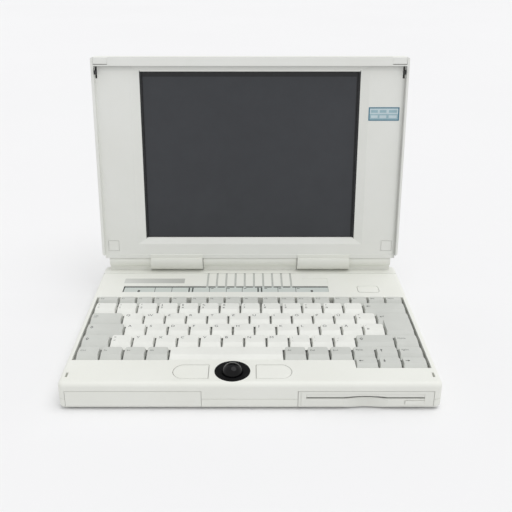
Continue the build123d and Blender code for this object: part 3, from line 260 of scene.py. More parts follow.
def moulded_plastic(name, color, rough=0.5, grain=1.0, wear=1.0, rim=None):
    """Moulded plastic: fine pitted grain, uneven ageing and, with rim, a painted shade along the lid's
    rims.
    """
    look = bpy.context.scene.notebook_finish
    f = Finish(name, roughness=rough, specular=0.42)
    color = tuple(color)
    aged = (color[0] * AGED, color[1] * AGED, color[2] * AGED_BLUE, 1.0)
    span = 0.5 * look.wear * wear
    patches = f.noise(14.0, 5.0, 0.62)
    tone = f.ramp(patches, (max(0.0, 0.5 - span), aged), (0.62, color))
    if rim:
        x, y, z = (f.along(axis) for axis in "XYZ")
        upper = f.joined("MULTIPLY", f.band(z, *rim["Z"]), f.band(y, RIM_Y - RIM_BLUR, RIM_Y + RIM_BLUR))
        inside = f.band(x, RIM_X, RIM_X + RIM_BLUR, 1.0, 0.0)
        below = f.band(z, RIM_Z, RIM_Z + RIM_BLUR, 1.0, 0.0)
        side = f.joined("MULTIPLY", f.band(x, *rim["X"]), f.joined("MULTIPLY", inside, below))
        shaded = f.ramp(f.joined("MAXIMUM", upper, side), (0.0, WHITE), (1.0, tint(WHITE, RIM_DEPTH)))
        links = {MIX_SHARE: 1.0, MIX_FIRST: tone, MIX_SECOND: shaded}
        mixed = f.node("ShaderNodeMix", links, data_type="RGBA", blend_type="MULTIPLY")
        tone = mixed.outputs[MIX_RESULT]
    f.feed("Base Color", tone)
    f.feed("Roughness", f.band(f.noise(95.0, 3.0), 0.3, 0.7, rough - 0.05, rough + 0.07))
    f.bump(f.noise(2600.0, 2.0, 0.6), look.grain * grain, 0.05 * MM)
    return f.material


def latch_plastic(name, color):
    """The latches: plastic like the bezel, with the part that stands in the slot left dark."""
    f = Finish(name, roughness=0.5, specular=0.35)
    height = f.band(f.along("Z"), HOOK_TOP - HOOK_BLUR, HOOK_TOP + HOOK_BLUR)
    f.feed("Base Color", f.ramp(height, (0.0, HOOK_COLOR), (1.0, tuple(color))))
    f.feed("Roughness", f.band(f.noise(95.0, 3.0), 0.3, 0.7, 0.44, 0.56))
    f.bump(f.noise(2600.0, 2.0, 0.6), 0.12, 0.05 * MM)
    return f.material


WHITE = (1.0, 1.0, 1.0, 1.0)
# Aged plastic: how much of its red and green, and of its blue, is left
AGED = 0.965
AGED_BLUE = AGED - 0.012
# How high the dark part of a latch reaches, and how soft its edge is
HOOK_TOP = 231.4 * MM
HOOK_BLUR = 0.4 * MM
HOOK_COLOR = linear(38, 39, 40)
# Where the painted shade below the lid's upper rim and beside its right one grows, and where these rims
# begin
RIM_SHADE = {"Z": (225.5 * MM, 231.2 * MM), "X": (142.4 * MM, 146.8 * MM)}
RIM_BLUR = 0.3 * MM
RIM_DEPTH = 0.66
RIM_X = 146.5 * MM
RIM_Z = 230.7 * MM
RIM_Y = 95.3 * MM
# Numbers of the mix node's sockets for colours
MIX_SHARE = 0
MIX_FIRST = 6
MIX_SECOND = 7
MIX_RESULT = 2


def rubbed_key(name, color):
    """Key plastic: finer grain than the case, with a faintly uneven tone and roughness."""
    look = bpy.context.scene.notebook_finish
    f = Finish(name, roughness=0.46, specular=0.45)
    color = tuple(color)
    tone = f.noise(46.0, 3.0, 0.6)
    f.feed("Base Color", f.ramp(tone, (0.3, tint(color, 0.955)), (0.66, color)))
    f.feed("Roughness", f.band(f.noise(70.0, 2.0), 0.3, 0.7, 0.38, 0.54))
    f.bump(f.noise(3400.0, 2.0, 0.55), look.grain * 0.8, 0.04 * MM)
    return f.material


def brushed_metal(name, color, rough=0.32, lines=(40.0, 900.0, 900.0)):
    """Sheet metal with fine drawn lines."""
    f = Finish(name, roughness=rough, metallic=1.0)
    streaks = f.noise(1.0, 4.0, 0.6, f.stretched(*lines))
    f.feed("Base Color", f.ramp(streaks, (0.3, tint(color, 0.8)), (0.7, color)))
    f.feed("Roughness", f.band(streaks, 0.3, 0.7, rough - 0.06, rough + 0.1))
    f.bump(streaks, 0.12, 0.02 * MM)
    return f.material


def dull_black(name, color, rough=0.6, specular=0.4):
    """Black or dark moulded pieces, with a dusty bloom."""
    f = Finish(name, roughness=rough, specular=specular)
    dust = f.noise(130.0, 5.0, 0.7)
    f.feed("Base Color", f.ramp(dust, (0.35, color), (0.8, tint(color, 1.6))))
    f.feed("Roughness", f.band(f.noise(300.0), 0.3, 0.7, rough - 0.08, rough + 0.1))
    f.bump(f.noise(1800.0, 2.0), 0.15, 0.05 * MM)
    return f.material


def polished_black(name):
    """The ball: polished, with faint handling smears."""
    f = Finish(name, roughness=0.08, specular=0.18)
    smears = f.noise(160.0, 4.0, 0.6, f.stretched(1.0, 1.0, 0.35))
    f.feed("Base Color", f.ramp(smears, (0.4, linear(5, 5, 6)), (0.8, linear(11, 11, 13))))
    f.feed("Roughness", f.band(smears, 0.35, 0.75, 0.08, 0.2))
    return f.material


def display_film(name, color):
    """The display switched off: a dull film, lighter where dust lies, with a very fine pixel grain."""
    f = Finish(name, roughness=0.34, specular=0.3)
    color = tuple(color)
    dust = f.noise(26.0, 6.0, 0.7)
    f.feed("Base Color", f.ramp(dust, (0.3, tint(color, 0.93)), (0.7, tint(color, 1.08))))
    f.feed("Roughness", f.band(f.noise(40.0, 4.0), 0.3, 0.7, 0.3, 0.42))
    f.bump(f.cells(3200.0), 0.05, 0.01 * MM)
    return f.material


def circuit_board(name):
    """Green board with tracks and lighter lines of copper under the lacquer."""
    f = Finish(name, roughness=0.38, specular=0.5)
    rows = f.node("ShaderNodeTexBrick", {"Vector": f.place, "Scale": 120.0, "Mortar Size": 0.03})
    rows.inputs["Color1"].default_value = linear(26, 84, 50)
    rows.inputs["Color2"].default_value = linear(20, 70, 42)
    rows.inputs["Mortar"].default_value = linear(66, 128, 74)
    f.feed("Base Color", rows.outputs["Color"])
    f.feed("Roughness", f.band(f.noise(200.0), 0.3, 0.7, 0.3, 0.45))
    f.bump(rows.outputs["Fac"], 0.2, 0.03 * MM)
    return f.material


def indicator_window(name):
    """Tinted window of the indicator strip: grey-green, darker towards its ends."""
    f = Finish(name, roughness=0.42, specular=0.35)
    low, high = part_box("status_strip")
    tone = f.band(f.along("X"), low.x, high.x)
    f.feed("Base Color", f.ramp(
        tone, (0.0, linear(200, 206, 202)), (0.5, linear(206, 212, 208)), (1.0, linear(200, 206, 203)),
    ))
    f.feed("Roughness", f.band(f.noise(150.0, 3.0), 0.3, 0.7, 0.36, 0.5))
    return f.material


def plate_metal(name):
    """Bare name plate, lighter at its left end than at its right, and the pale badge."""
    f = Finish(name, roughness=0.46, specular=0.35)
    low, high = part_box("label_plates")
    tone = f.band(f.along("X"), low.x, high.x)
    f.feed("Base Color", f.ramp(
        tone,
        (0.0, linear(208, 209, 205)), (PLATE_DARK, linear(184, 185, 181)),
        (PLATE_SPLIT, linear(184, 185, 181)), (PLATE_SPLIT + 0.01, linear(231, 232, 226)),
    ))
    streaks = f.noise(1.0, 3.0, 0.6, f.stretched(60.0, 2500.0, 60.0))
    f.feed("Roughness", f.band(streaks, 0.3, 0.7, 0.34, 0.5))
    return f.material


# Shares of the way from the name plate's left end to the badge's right end
PLATE_DARK = 0.28
PLATE_SPLIT = 0.34


def printed(name, color, rough=0.5):
    """Printed ink or film with a faintly uneven tone."""
    f = Finish(name, roughness=rough, specular=0.35)
    f.feed("Base Color", f.ramp(f.noise(240.0, 3.0), (0.3, tint(color, 0.93)), (0.7, tuple(color))))
    return f.material


def soft_rubber(name, color):
    """Matt rubber with a crazed, dusty skin."""
    f = Finish(name, roughness=0.78, specular=0.25)
    f.feed("Base Color", f.ramp(f.noise(210.0, 4.0), (0.3, color), (0.75, tint(color, 1.5))))
    f.feed("Roughness", f.band(f.noise(320.0), 0.3, 0.7, 0.7, 0.86))
    f.bump(f.cells(900.0), 0.2, 0.05 * MM)
    return f.material


def sleeved_cells(name):
    """Shrink-sleeved cells: green film with rings in relief where it is gathered."""
    f = Finish(name, roughness=0.35, specular=0.5)
    rings = f.node("ShaderNodeTexWave", {"Vector": f.place, "Scale": 60.0, "Distortion": 0.6})
    relief = rings.outputs["Fac"]
    f.feed("Base Color", f.ramp(relief, (0.2, linear(58, 102, 74)), (0.8, linear(76, 122, 92))))
    f.bump(relief, 0.15, 0.05 * MM)
    return f.material


def milky_film(name):
    """Contact film under the keys: pale, with dark contact rings."""
    f = Finish(name, roughness=0.3, specular=0.5)
    f.feed("Base Color", f.ramp(f.cells(160.0), (0.1, linear(120, 118, 110)), (0.2, linear(206, 206, 196))))
    f.feed("Roughness", f.band(f.noise(80.0), 0.3, 0.7, 0.25, 0.4))
    return f.material


# Mesh helpers


class Shape:
    """Gathers flat faces and blocks, in millimetres, and makes one piece of them."""

    def __init__(self):
        self.points = []
        self.faces = []

    def add(self, points, faces):
        start = len(self.points)
        self.points += [tuple(p) for p in points]
        self.faces += [[start + i for i in face] for face in faces]

    def polygon(self, points, z):
        """Flat face at one height, seen from above."""
        self.add([(x, y, z) for x, y in points], [range(len(points))])

    def patch(self, x0, x1, y0, y1, z):
        self.polygon([(x0, y0), (x1, y0), (x1, y1), (x0, y1)], z)

    def upright(self, x0, x1, y, z0, z1):
        """Flat face that looks to the front."""
        self.add([(x0, y, z0), (x1, y, z0), (x1, y, z1), (x0, y, z1)], [range(4)])

    def leaning(self, x0, y0, x1, y1, z0, z1):
        """Upright face between two points seen from above."""
        self.add([(x0, y0, z0), (x1, y1, z0), (x1, y1, z1), (x0, y0, z1)], [range(4)])

    def cuboid(self, x0, x1, y0, y1, z0, z1):
        points = [(x, y, z) for z in (z0, z1) for x, y in ((x0, y0), (x1, y0), (x1, y1), (x0, y1))]
        sides = [[i, (i + 1) % 4, (i + 1) % 4 + 4, i + 4] for i in range(4)]
        self.add(points, sides + [[3, 2, 1, 0], [4, 5, 6, 7]])

    def rod(self, start, end, radius):
        """Closed cylinder between two points."""
        start, end = Vector(start), Vector(end)
        sides = ROD_SIDES
        turn = (end - start).to_track_quat("Z", "Y")
        rim = [Vector((math.cos(a), math.sin(a), 0)) * radius
               for a in (2 * math.pi * i / sides for i in range(sides))]
        points = [at + turn @ p for at in (start, end) for p in rim]
        faces = [[i, (i + 1) % sides, (i + 1) % sides + sides, i + sides] for i in range(sides)]
        self.add(points, faces + [list(range(sides))[::-1], list(range(sides, 2 * sides))])

    def words(self, text, x, y, z, height):
        """Lettering lying flat; x and y are its upper left corner."""
        curve = bpy.data.curves.new("lettering", "FONT")
        curve.body = text
        curve.size = height / CAP_SHARE
        curve.resolution_u = 3
        holder = bpy.data.objects.new("lettering", curve)
        mesh = holder.to_mesh()
        points = [v.co.copy() for v in mesh.vertices]
        faces = [list(p.vertices) for p in mesh.polygons]
        holder.to_mesh_clear()
        bpy.data.objects.remove(holder)
        bpy.data.curves.remove(curve)
        if not points:
            return
        shift = x - min(p.x for p in points)
        self.add([(p.x + shift, p.y + y - height, z) for p in points], faces)

    def build(self, name, body, material, matrix=None):
        """The piece as an object that moves with a body; matrix places what is drawn on the lid."""
        mesh = bpy.data.meshes.new(name)
        mesh.from_pydata([(x * MM, y * MM, z * MM) for x, y, z in self.points], [], self.faces)
        if matrix:
            mesh.transform(matrix)
        mesh.validate()
        mesh.materials.append(material)
        made = bpy.data.objects.new(name, mesh)
        bpy.context.scene.collection.objects.link(made)
        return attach(made, body)


# The height of a capital letter as a share of the lettering's size
CAP_SHARE = 0.72
ROD_SIDES = 12


def lid_box(node):
    """Corners of a node in the lid's own frame, in mm."""
    back = TO_LID.inverted()
    points = [back @ v.co for v in NODES[node].data.vertices]
    return [(min(p[i] for p in points) / MM, max(p[i] for p in points) / MM) for i in range(3)]


def dress(material, *nodes):
    """Gives CAD nodes one material."""
    for name in nodes:
        mesh = NODES[name].data
        mesh.materials.clear()
        mesh.materials.append(material)


def key_tops(node):
    """The flat tops of a node's keys, from the rear row forward and from left to right.

    Each is (x0, x1, y0, y1) in mm; the height of the tops follows, in mm too.
    """
    mesh = NODES[node].data
    top = max(v.co.z for v in mesh.vertices)
    level = {v.index: (round(v.co.x / MM, 2), round(v.co.y / MM, 2))
             for v in mesh.vertices if v.co.z > top - TOP_SLACK}
    groups = []
    for face in mesh.polygons:
        if not all(i in level for i in face.vertices):
            continue
        corners = {level[i] for i in face.vertices}
        touching = [g for g in groups if g & corners]
        groups = [g for g in groups if not g & corners]
        groups.append(corners.union(*touching))
    boxes = []
    for group in groups:
        xs = [p[0] for p in group]
        ys = [p[1] for p in group]
        boxes.append((min(xs), max(xs), min(ys), max(ys)))
    boxes.sort(key=lambda b: (-round((b[2] + b[3]) / 2 / KEY_ROW), b[0]))
    return boxes, top / MM


# The step that sorts the keys into rows, in mm, and how far below the highest point a top may lie
KEY_ROW = 9.0
TOP_SLACK = 0.02 * MM


# Key legends: one entry for each key, from the rear row forward and from left to right.
# A pair is the lower and the upper sign of a key; names in ARROWS are drawn as arrows.

LEGENDS = {
    "keys_function_row": ["Esc"] + [f"F{i}" for i in range(1, 13)] + ["Prt", "Scr", "Brk", "Num"],
    "keys_number_row": [
        ("^", "°"), ("1", "!"), ("2", '"'), ("3", "§"), ("4", "$"), ("5", "%"), ("6", "&"), ("7", "/"),
        ("8", "("), ("9", ")"), ("0", "="), ("ß", "?"), ("´", "`"),
    ],
    "keys_upper_letters": [*"QWERTZUIOPÜ", ("+", "*")],
    "keys_middle_letters": [*"ASDFGHJKLÖÄ", ("#", "'")],
    "keys_lower_letters": [("<", ">"), *"YXCVBNM", (",", ";"), (".", ":"), ("-", "_")],
    "keys_left_edge": ["tab", "lock", "shift"],
    "keys_right_edge": ["back", "enter", "shift"],
    "keys_modifiers": ["Ctrl", "Fn", "Ins", "Alt", "Alt", "Del", "End"],
    "keys_cursor": ["Home", "PgUp", "up", "PgDn", "left", "down", "right"],
}
WHITE_KEYS = [
    "keys_number_row", "keys_upper_letters", "keys_middle_letters", "keys_lower_letters", "key_space_bar",
]
GREY_KEYS = ["keys_function_row", "keys_left_edge", "keys_right_edge", "keys_modifiers", "keys_cursor"]

# Arrow outlines on a square of side 1, in strokes: each stroke is a closed polygon
ARROW_RIGHT = [
    [(0.0, 0.42), (0.6, 0.42), (0.6, 0.58), (0.0, 0.58)],
    [(0.55, 0.2), (1.0, 0.5), (0.55, 0.8)],
]


def turned(strokes, quarter):
    """Strokes turned by quarter turns about the middle of their square."""
    for _ in range(quarter):
        strokes = [[(1 - y, x) for x, y in stroke] for stroke in strokes]
    return strokes


OPEN_ARROW = [
    [(0.1, 0.5), (0.5, 1.0), (0.5, 0.82), (0.3, 0.58)],
    [(0.5, 1.0), (0.9, 0.5), (0.7, 0.58), (0.5, 0.82)],
    [(0.1, 0.5), (0.3, 0.58), (0.36, 0.5), (0.36, 0.42)],
    [(0.9, 0.5), (0.64, 0.42), (0.64, 0.5), (0.7, 0.58)],
    [(0.3, 0.0), (0.42, 0.12), (0.42, 0.5), (0.3, 0.5)],
    [(0.58, 0.12), (0.7, 0.0), (0.7, 0.5), (0.58, 0.5)],
    [(0.3, 0.0), (0.7, 0.0), (0.58, 0.12), (0.42, 0.12)],
]
ARROWS = {
    "right": ARROW_RIGHT,
    "up": turned(ARROW_RIGHT, 1),
    "left": turned(ARROW_RIGHT, 2),
    "down": turned(ARROW_RIGHT, 3),
    "back": turned(ARROW_RIGHT, 2),
    "shift": OPEN_ARROW,
    "lock": turned(OPEN_ARROW, 2),
    "enter": [
        [(0.88, 0.34), (1.0, 0.34), (1.0, 0.95), (0.88, 0.95)],
        [(0.4, 0.3), (1.0, 0.3), (1.0, 0.42), (0.4, 0.42)],
        [(0.45, 0.08), (0.45, 0.64), (0.0, 0.36)],
    ],
    "tab": [
        [(0.0, 0.72), (0.62, 0.72), (0.62, 0.8), (0.0, 0.8)],
        [(0.6, 0.6), (0.92, 0.76), (0.6, 0.92)],
        [(0.94, 0.58), (1.0, 0.58), (1.0, 0.94), (0.94, 0.94)],
        [(0.38, 0.2), (1.0, 0.2), (1.0, 0.28), (0.38, 0.28)],
        [(0.4, 0.08), (0.4, 0.4), (0.08, 0.24)],
        [(0.0, 0.06), (0.06, 0.06), (0.06, 0.42), (0.0, 0.42)],
    ],
}
# In mm: the legends' distance from the left and rear edges of the tops, and of a key's two signs
MARGIN_X = 1.7
WHITE_MARGIN = 1.9
GREY_MARGIN = 4.0
LOWER_SIGN = 4.9
# The rear margin of a short top as a share of its depth; signs and arrows as shares of a letter's height
SHORT_TOP = 0.36
SIGN_SHARE = 0.86
ARROW_SHARE = 1.15


def draw_legend(shape, legend, box, z, letter, small, margin):
    """One key's legend in the upper left of its top."""
    x = box[0] + MARGIN_X
    y = box[3] - min(margin, (box[3] - box[2]) * SHORT_TOP)
    if isinstance(legend, tuple):
        lower, upper = legend
        shape.words(lower, x, y - LOWER_SIGN, z, letter * SIGN_SHARE)
        shape.words(upper, x, y, z, letter * SIGN_SHARE)
    elif legend in ARROWS:
        side = letter * ARROW_SHARE
        for stroke in ARROWS[legend]:
            shape.polygon([(x + px * side, y - side + py * side) for px, py in stroke], z)
    elif len(legend) > 1:
        shape.words(legend, x, y, z, small)
    else:
        shape.words(legend, x, y, z, letter)


# Operators


class NOTEBOOK_OT_plastics(bpy.types.Operator):
    """Off-white moulded plastic for the base, the lid and their buttons"""

    bl_idname = "notebook.plastics"
    bl_label = "Case Plastics"

    def execute(self, context):
        look = context.scene.notebook_finish
        case = moulded_plastic("case_plastic", look.casing)
        dress(case, "base_bottom_case", "base_top_case", "hinge_bar_covers", "battery_case")
        face = moulded_plastic("bezel_plastic", look.bezel, rough=0.48, rim=RIM_SHADE)
        dress(face, "lid_bezel", "screw_covers")
        dress(latch_plastic("latch_plastic", look.bezel), "latch_left", "latch_right")
        rear = moulded_plastic("lid_rear_plastic", tint(look.casing, 0.985), rough=0.54, grain=1.3)
        dress(rear, "lid_rear_cover")
        button = moulded_plastic("button_plastic", tint(look.casing, 1.012), rough=0.44, wear=0.7)
        dress(button, "power_button", "pointer_button_left", "pointer_button_right", "floppy_eject_button")
        drive = moulded_plastic("drive_plastic", tint(look.casing, 0.97), rough=0.5, wear=1.2)
        dress(drive, "floppy_bezel", "floppy_door")
        return {"FINISHED"}


class NOTEBOOK_OT_inner_parts(bpy.types.Operator):
    """Boards, drives, cells, hinges, screws and rubber"""

    bl_idname = "notebook.inner_parts"
    bl_label = "Inner Parts and Metalwork"

    def execute(self, context):
        steel = linear(176, 178, 180)
        dress(brushed_metal("drawn_sheet", steel), "keyboard_plate", "floppy_chassis", "display_frame")
        dress(brushed_metal("drive_cover", tint(steel, 0.9), 0.38, (900.0, 30.0, 900.0)), "hard_drive")
        dress(brushed_metal("hinge_steel", tint(steel, 0.75), 0.4), "hinge_brackets", "hinge_arms")
        turned_steel = brushed_metal("screw_steel", tint(steel, 0.85), 0.28, (700.0, 700.0, 700.0))
        dress(turned_steel, "case_screws", "lid_screws", "roller_fore_aft", "roller_sideways", "ball_idler")
        tin = brushed_metal("connector_tin", tint(steel, 1.05), 0.3, (500.0, 500.0, 80.0))
        dress(tin, "parallel_port", "serial_port", "monitor_port")
        dress(circuit_board("board_lacquer"), "main_board", "inverter_board", "pointer_switch_boards")
        dress(dull_black("chip_resin", linear(38, 38, 40), 0.5), "board_chips")
        black = dull_black("black_plastic", linear(34, 34, 35), 0.55)
        dress(black, "round_sockets", "trackball_housing", "ball_core")
        dress(moulded_plastic("frame_plastic", linear(158, 159, 155), rough=0.55), "keyboard_frame")
        sleeve = dull_black("cable_sleeve", linear(30, 30, 31), 0.5)
        dress(sleeve, "display_cable_base", "display_cable_lid")
        dress(dull_black("speaker_cone", linear(44, 43, 42), 0.8), "speaker")
        dress(soft_rubber("foot_rubber", linear(58, 58, 60)), "rubber_feet")
        dress(soft_rubber("dome_rubber", linear(120, 122, 122)), "rubber_dome_sheet")
        dress(sleeved_cells("cell_sleeve"), "battery_cells")
        dress(milky_film("contact_film"), "keyboard_membrane")
        return {"FINISHED"}


class NOTEBOOK_OT_keys(bpy.types.Operator):
    """White and grey key caps with their legends"""

    bl_idname = "notebook.keys"
    bl_label = "Keys and Legends"

    def execute(self, context):
        look = context.scene.notebook_finish
        marks = context.scene.notebook_marks
        dress(rubbed_key("white_key_plastic", look.white_key), *WHITE_KEYS)
        dress(rubbed_key("grey_key_plastic", look.grey_key), *GREY_KEYS)
        ink = printed("legend_ink", look.legend, 0.55)
        for node, legends in LEGENDS.items():
            boxes, top = key_tops(node)
            if len(boxes) != len(legends):
                raise RuntimeError(f"{node} has {len(boxes)} key tops and {len(legends)} legends")
            shape = Shape()
            margin = WHITE_MARGIN if node in WHITE_KEYS else GREY_MARGIN
            z = top + marks.lift / MM
            for legend, box in zip(legends, boxes):
                draw_legend(shape, legend, box, z, marks.letter / MM, marks.small / MM, margin)
            shape.build("legends_" + node.removeprefix("keys_"), node, ink)
        return {"FINISHED"}


class NOTEBOOK_OT_deck_marks(bpy.types.Operator):
    """Indicator window with its marks and painted shade lines, name plate and badge left bare, and painted
    shade in the deck's grooves and crease
    """

    bl_idname = "notebook.deck_marks"
    bl_label = "Indicator Window and Plates"

    def execute(self, context):
        marks = context.scene.notebook_marks
        dress(indicator_window("indicator_tint"), "status_strip")
        dress(plate_metal("bare_plate_metal"), "label_plates")
        low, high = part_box("status_strip")
        x0, x1, y0, y1 = low.x / MM, high.x / MM, low.y / MM, high.y / MM
        z = (high.z + marks.lift) / MM
        dark = Shape()
        for share in WINDOW_BARS:
            x = x0 + (x1 - x0) * share
            dark.patch(x - BAR_W / 2, x + BAR_W / 2, y0, y0 + (y1 - y0) * BAR_SHARE, z)
        for share in WINDOW_DOTS:
            x = x0 + (x1 - x0) * share
            dark.patch(x - DOT_HALF, x + DOT_HALF, y0 + DOT_IN, y0 + DOT_IN + DOT_L, z)
        for share in WINDOW_DASHES:
            x = x0 + (x1 - x0) * share
            dark.patch(x, x + DASH_L, y1 - DASH_IN[1], y1 - DASH_IN[0], z)
        # Painted shade: a dark line at the window's left end and one along its rear edge, broken at the
        # grooves, where the window sits below the deck; the bars, dots and dashes are print
        dark.patch(x0, x0 + LEFT_SHADE_W, y0, y1, z)
        stops = [x0] + [at + side for at in VENTS for side in (-VENT_HALF, VENT_HALF)] + [x1]
        for start, end in zip(stops[::2], stops[1::2]):
            dark.patch(start, end, y1 - REAR_SHADE_LINE, y1, z)
        dark.build("window_marks_and_painted_shade", "base", printed("window_ink_and_painted_shade", marks.ink, 0.3))
        faint = Shape()
        for share in WINDOW_DIVIDERS:
            x = x0 + (x1 - x0) * share
            faint.patch(x - DIVIDER_HALF, x + DIVIDER_HALF, y0, y1 - REAR_SHADE_LINE, z)
        pale = printed("window_line_ink", tint(marks.ink, 2.2), 0.3)
        faint.build("window_dividers", "base", pale)
        # Painted shade: pale grey patches on the floors of the deck's grooves, and a darker one along its
        # crease
        floor = GROOVE_FLOOR + marks.lift / MM
        grooves = Shape()
        for at in VENTS:
            grooves.patch(at - VENT_HALF, at + VENT_HALF, y1, CREASE_AT - CREASE_HALF, floor)
        grooves.build("groove_floors", "base", printed("groove_shade", marks.groove, 0.6))
        crease = Shape()
        crease.patch(-CREASE_END, CREASE_END, CREASE_AT - CREASE_HALF, CREASE_AT + CREASE_HALF, floor)
        deep = printed("crease_shade", tint(marks.groove, 0.42), 0.6)
        crease.build("crease_floor", "base", deep)
        return {"FINISHED"}


# Where the window's marks stand, as shares of its width from the left
WINDOW_BARS = (0.3212, 0.3382, 0.657, 0.674)
WINDOW_DOTS = (0.0773, 0.9179)
WINDOW_DIVIDERS = (0.1546, 0.2367, 0.42, 0.5024, 0.5797, 0.7536, 0.8406)
WINDOW_DASHES = (0.4267, 0.5055, 0.587, 0.688, 0.7573, 0.8464)
# In mm: the deck's grooves, the marks' sizes with the painted shade lines at the window's left end and rear
# edge, and how far dots and dashes stand in from front and rear
VENT_FIRST = -41.9
VENT_PITCH = 9.15
VENTS = [VENT_FIRST + VENT_PITCH * i for i in range(10)]
VENT_HALF = 0.95
BAR_W = 1.4
BAR_SHARE = 0.82
DOT_HALF = 1.1
DOT_L = 4.8
DOT_IN = 0.6
DASH_L = 2.6
DASH_IN = (3.4, 4.4)
DIVIDER_HALF = 0.25
LEFT_SHADE_W = 1.0
REAR_SHADE_LINE = 1.7
# In mm: the floor of the deck's grooves and of its crease, and where the crease runs
GROOVE_FLOOR = 23.8
CREASE_AT = 78.12
CREASE_HALF = 0.34
CREASE_END = 148.4


class NOTEBOOK_OT_screen(bpy.types.Operator):
    """Dark display with its black border, widened at the top and right by painted shade, strips of painted
    shade at the window's sides, and the sticker beside it, without lettering
    """

    bl_idname = "notebook.screen"
    bl_label = "Display and Sticker"

    def execute(self, context):
        look = context.scene.notebook_finish
        marks = context.scene.notebook_marks
        dress(display_film("display_surface", look.screen), "display_panel")
        (left, right), (face, _), (low, high) = lid_box("display_panel")
        left, right = left + HIDDEN, right - HIDDEN
        low, high = low + HIDDEN, high - HIDDEN
        y = face - BEHIND
        # The black border is partly the panel's own dark edge and partly painted shade cast by the bezel
        dark_border_and_shade = Shape()
        dark_border_and_shade.upright(left, left + BORDER_AND_SHADE[0], y, low, high)
        dark_border_and_shade.upright(right - BORDER_AND_SHADE[1], right, y, low, high)
        dark_border_and_shade.upright(left + BORDER_AND_SHADE[0], right - BORDER_AND_SHADE[1], y, low, low + BORDER_AND_SHADE[2])
        dark_border_and_shade.upright(left + BORDER_AND_SHADE[0], right - BORDER_AND_SHADE[1], y, high - BORDER_AND_SHADE[3], high)
        black = dull_black("border_print_with_painted_shade", linear(22, 23, 25), 0.4)
        dark_border_and_shade.build("display_border_with_painted_shade", "lid", black, TO_LID)
        # Painted shade: black strips over the window's upright sides and the slope beside them, where the
        # recess around the display lies in shade
        side_shade_strips = Shape()
        front = face - SLEEVE_DEPTH - BEHIND
        for edge, side in ((left, -1), (right, 1)):
            foot = edge - side * BEHIND
            side_shade_strips.leaning(foot, face - BEHIND, foot, front, low, high)
            side_shade_strips.leaning(foot, front, edge + side * SLOPE_W, front - SLOPE_RISE, low, high)
        black = dull_black("side_painted_shade_black", linear(30, 31, 33), 0.5)
        side_shade_strips.build("window_side_painted_shade", "lid", black, TO_LID)
        dress(printed("sticker_border", marks.sticker_edge, 0.4), "lid_sticker")
        (x0, x1), (face, _), (z0, z1) = lid_box("lid_sticker")
        y = face - BEHIND
        middle = (z0 + z1) / 2
        field = Shape()
        field.upright(x0 + STICKER_RIM, x1 - STICKER_RIM, y, middle, z1 - STICKER_RIM)
        lower = Shape()
        lower.upright(x0 + STICKER_RIM, x1 - STICKER_RIM, y, z0 + STICKER_RIM, middle)
        for start, end in zip(STICKER_BARS[::2], STICKER_BARS[1::2]):
            bar = [x0 + (x1 - x0) * share for share in (start, end)]
            lower.upright(*bar, y - BEHIND, middle + BAR_IN, z1 - BAR_OUT)
            field.upright(*bar, y - BEHIND, z0 + BAR_OUT, middle - BAR_IN)
        lower.build("sticker_lower", "lid", printed("sticker_mid", STICKER_MID, 0.4), TO_LID)
        pale = printed("sticker_pale", marks.sticker_field, 0.4)
        field.build("sticker_field", "lid", pale, TO_LID)
        return {"FINISHED"}


# In mm: the display's edge that the bezel hides, and its black border at the left, right, bottom and top,
# partly the panel's dark edge and partly painted shade from the bezel, so widest at the top and wider at
# the right than at the left
HIDDEN = 3.6
BORDER_AND_SHADE = (0.8, 1.6, 1.0, 5.0)
# In mm: how far these marks stand off what is behind them
BEHIND = 0.04
# In mm: the upright side of the window in the bezel, and the strip of painted shade on the slope beside it
SLEEVE_DEPTH = 1.4
SLOPE_W = 1.4
SLOPE_RISE = 0.37
# The sticker: its lower field, its bars' ends as shares of its width, and margins in mm
STICKER_MID = linear(158, 188, 198)
STICKER_BARS = (0.08, 0.3, 0.36, 0.58, 0.66, 0.92)
STICKER_RIM = 1.1
BAR_IN = 1.2
BAR_OUT = 2.6


class NOTEBOOK_OT_sockets(bpy.types.Operator):
    """Insulators and contacts of the sockets at the rear"""

    bl_idname = "notebook.sockets"
    bl_label = "Rear Sockets"

    def execute(self, context):
        black = dull_black("insulator", linear(30, 30, 32), 0.45)
        gold = brushed_metal("contact_gold", linear(206, 176, 104), 0.3, (600.0, 600.0, 600.0))
        for node, (rows, pitch, proud) in CONTACTS.items():
            low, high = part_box(node)
            middle = (low.x + high.x) / 2 / MM
            rear = high.y / MM - SHELL_H
            z = (low.z + high.z) / 2 / MM
            half = (high.x - low.x) / 2 / MM - SHELL_INSET
            body = Shape()
            front, back = rear + BODY_Y[0], rear + BODY_Y[1]
            body.cuboid(middle - half, middle + half, front, back, z - BODY_HALF, z + BODY_HALF)
            body.build(node + "_insulator", "base", black)
            pins = Shape()
            for row, count in enumerate(rows):
                height = z + (len(rows) - 1) * pitch / 2 - row * pitch
                for i in range(count):
                    x = middle + (i - (count - 1) / 2) * pitch
                    pins.rod((x, rear - PIN_BACK, height), (x, rear + proud, height), PIN_R)
            pins.build(node + "_contacts", "base", gold)
        return {"FINISHED"}


# Contacts of each socket: how many in each row, their pitch and how far they reach, in mm
CONTACTS = {
    "parallel_port": ((13, 12), 2.77, 0.7),
    "serial_port": ((5, 4), 2.77, 2.6),
    "monitor_port": ((5, 5, 5), 2.0, 0.7),
}
# In mm: how far a socket's shell stands out and how far in from its ends, then insulator and pins
SHELL_H = 3.0
SHELL_INSET = 7.9
BODY_Y = (-3.9, 0.6)
BODY_HALF = 2.9
PIN_BACK = 3.0
PIN_R = 0.45


class NOTEBOOK_OT_ball(bpy.types.Operator):
    """Polished ball in its dark dish"""

    bl_idname = "notebook.ball"
    bl_label = "Trackball"

    def execute(self, context):
        dress(polished_black("ball_polish"), "ball_shell")
        dress(dull_black("dish_plastic", linear(13, 13, 14), 0.5, 0.12), "trackball_ring")
        return {"FINISHED"}


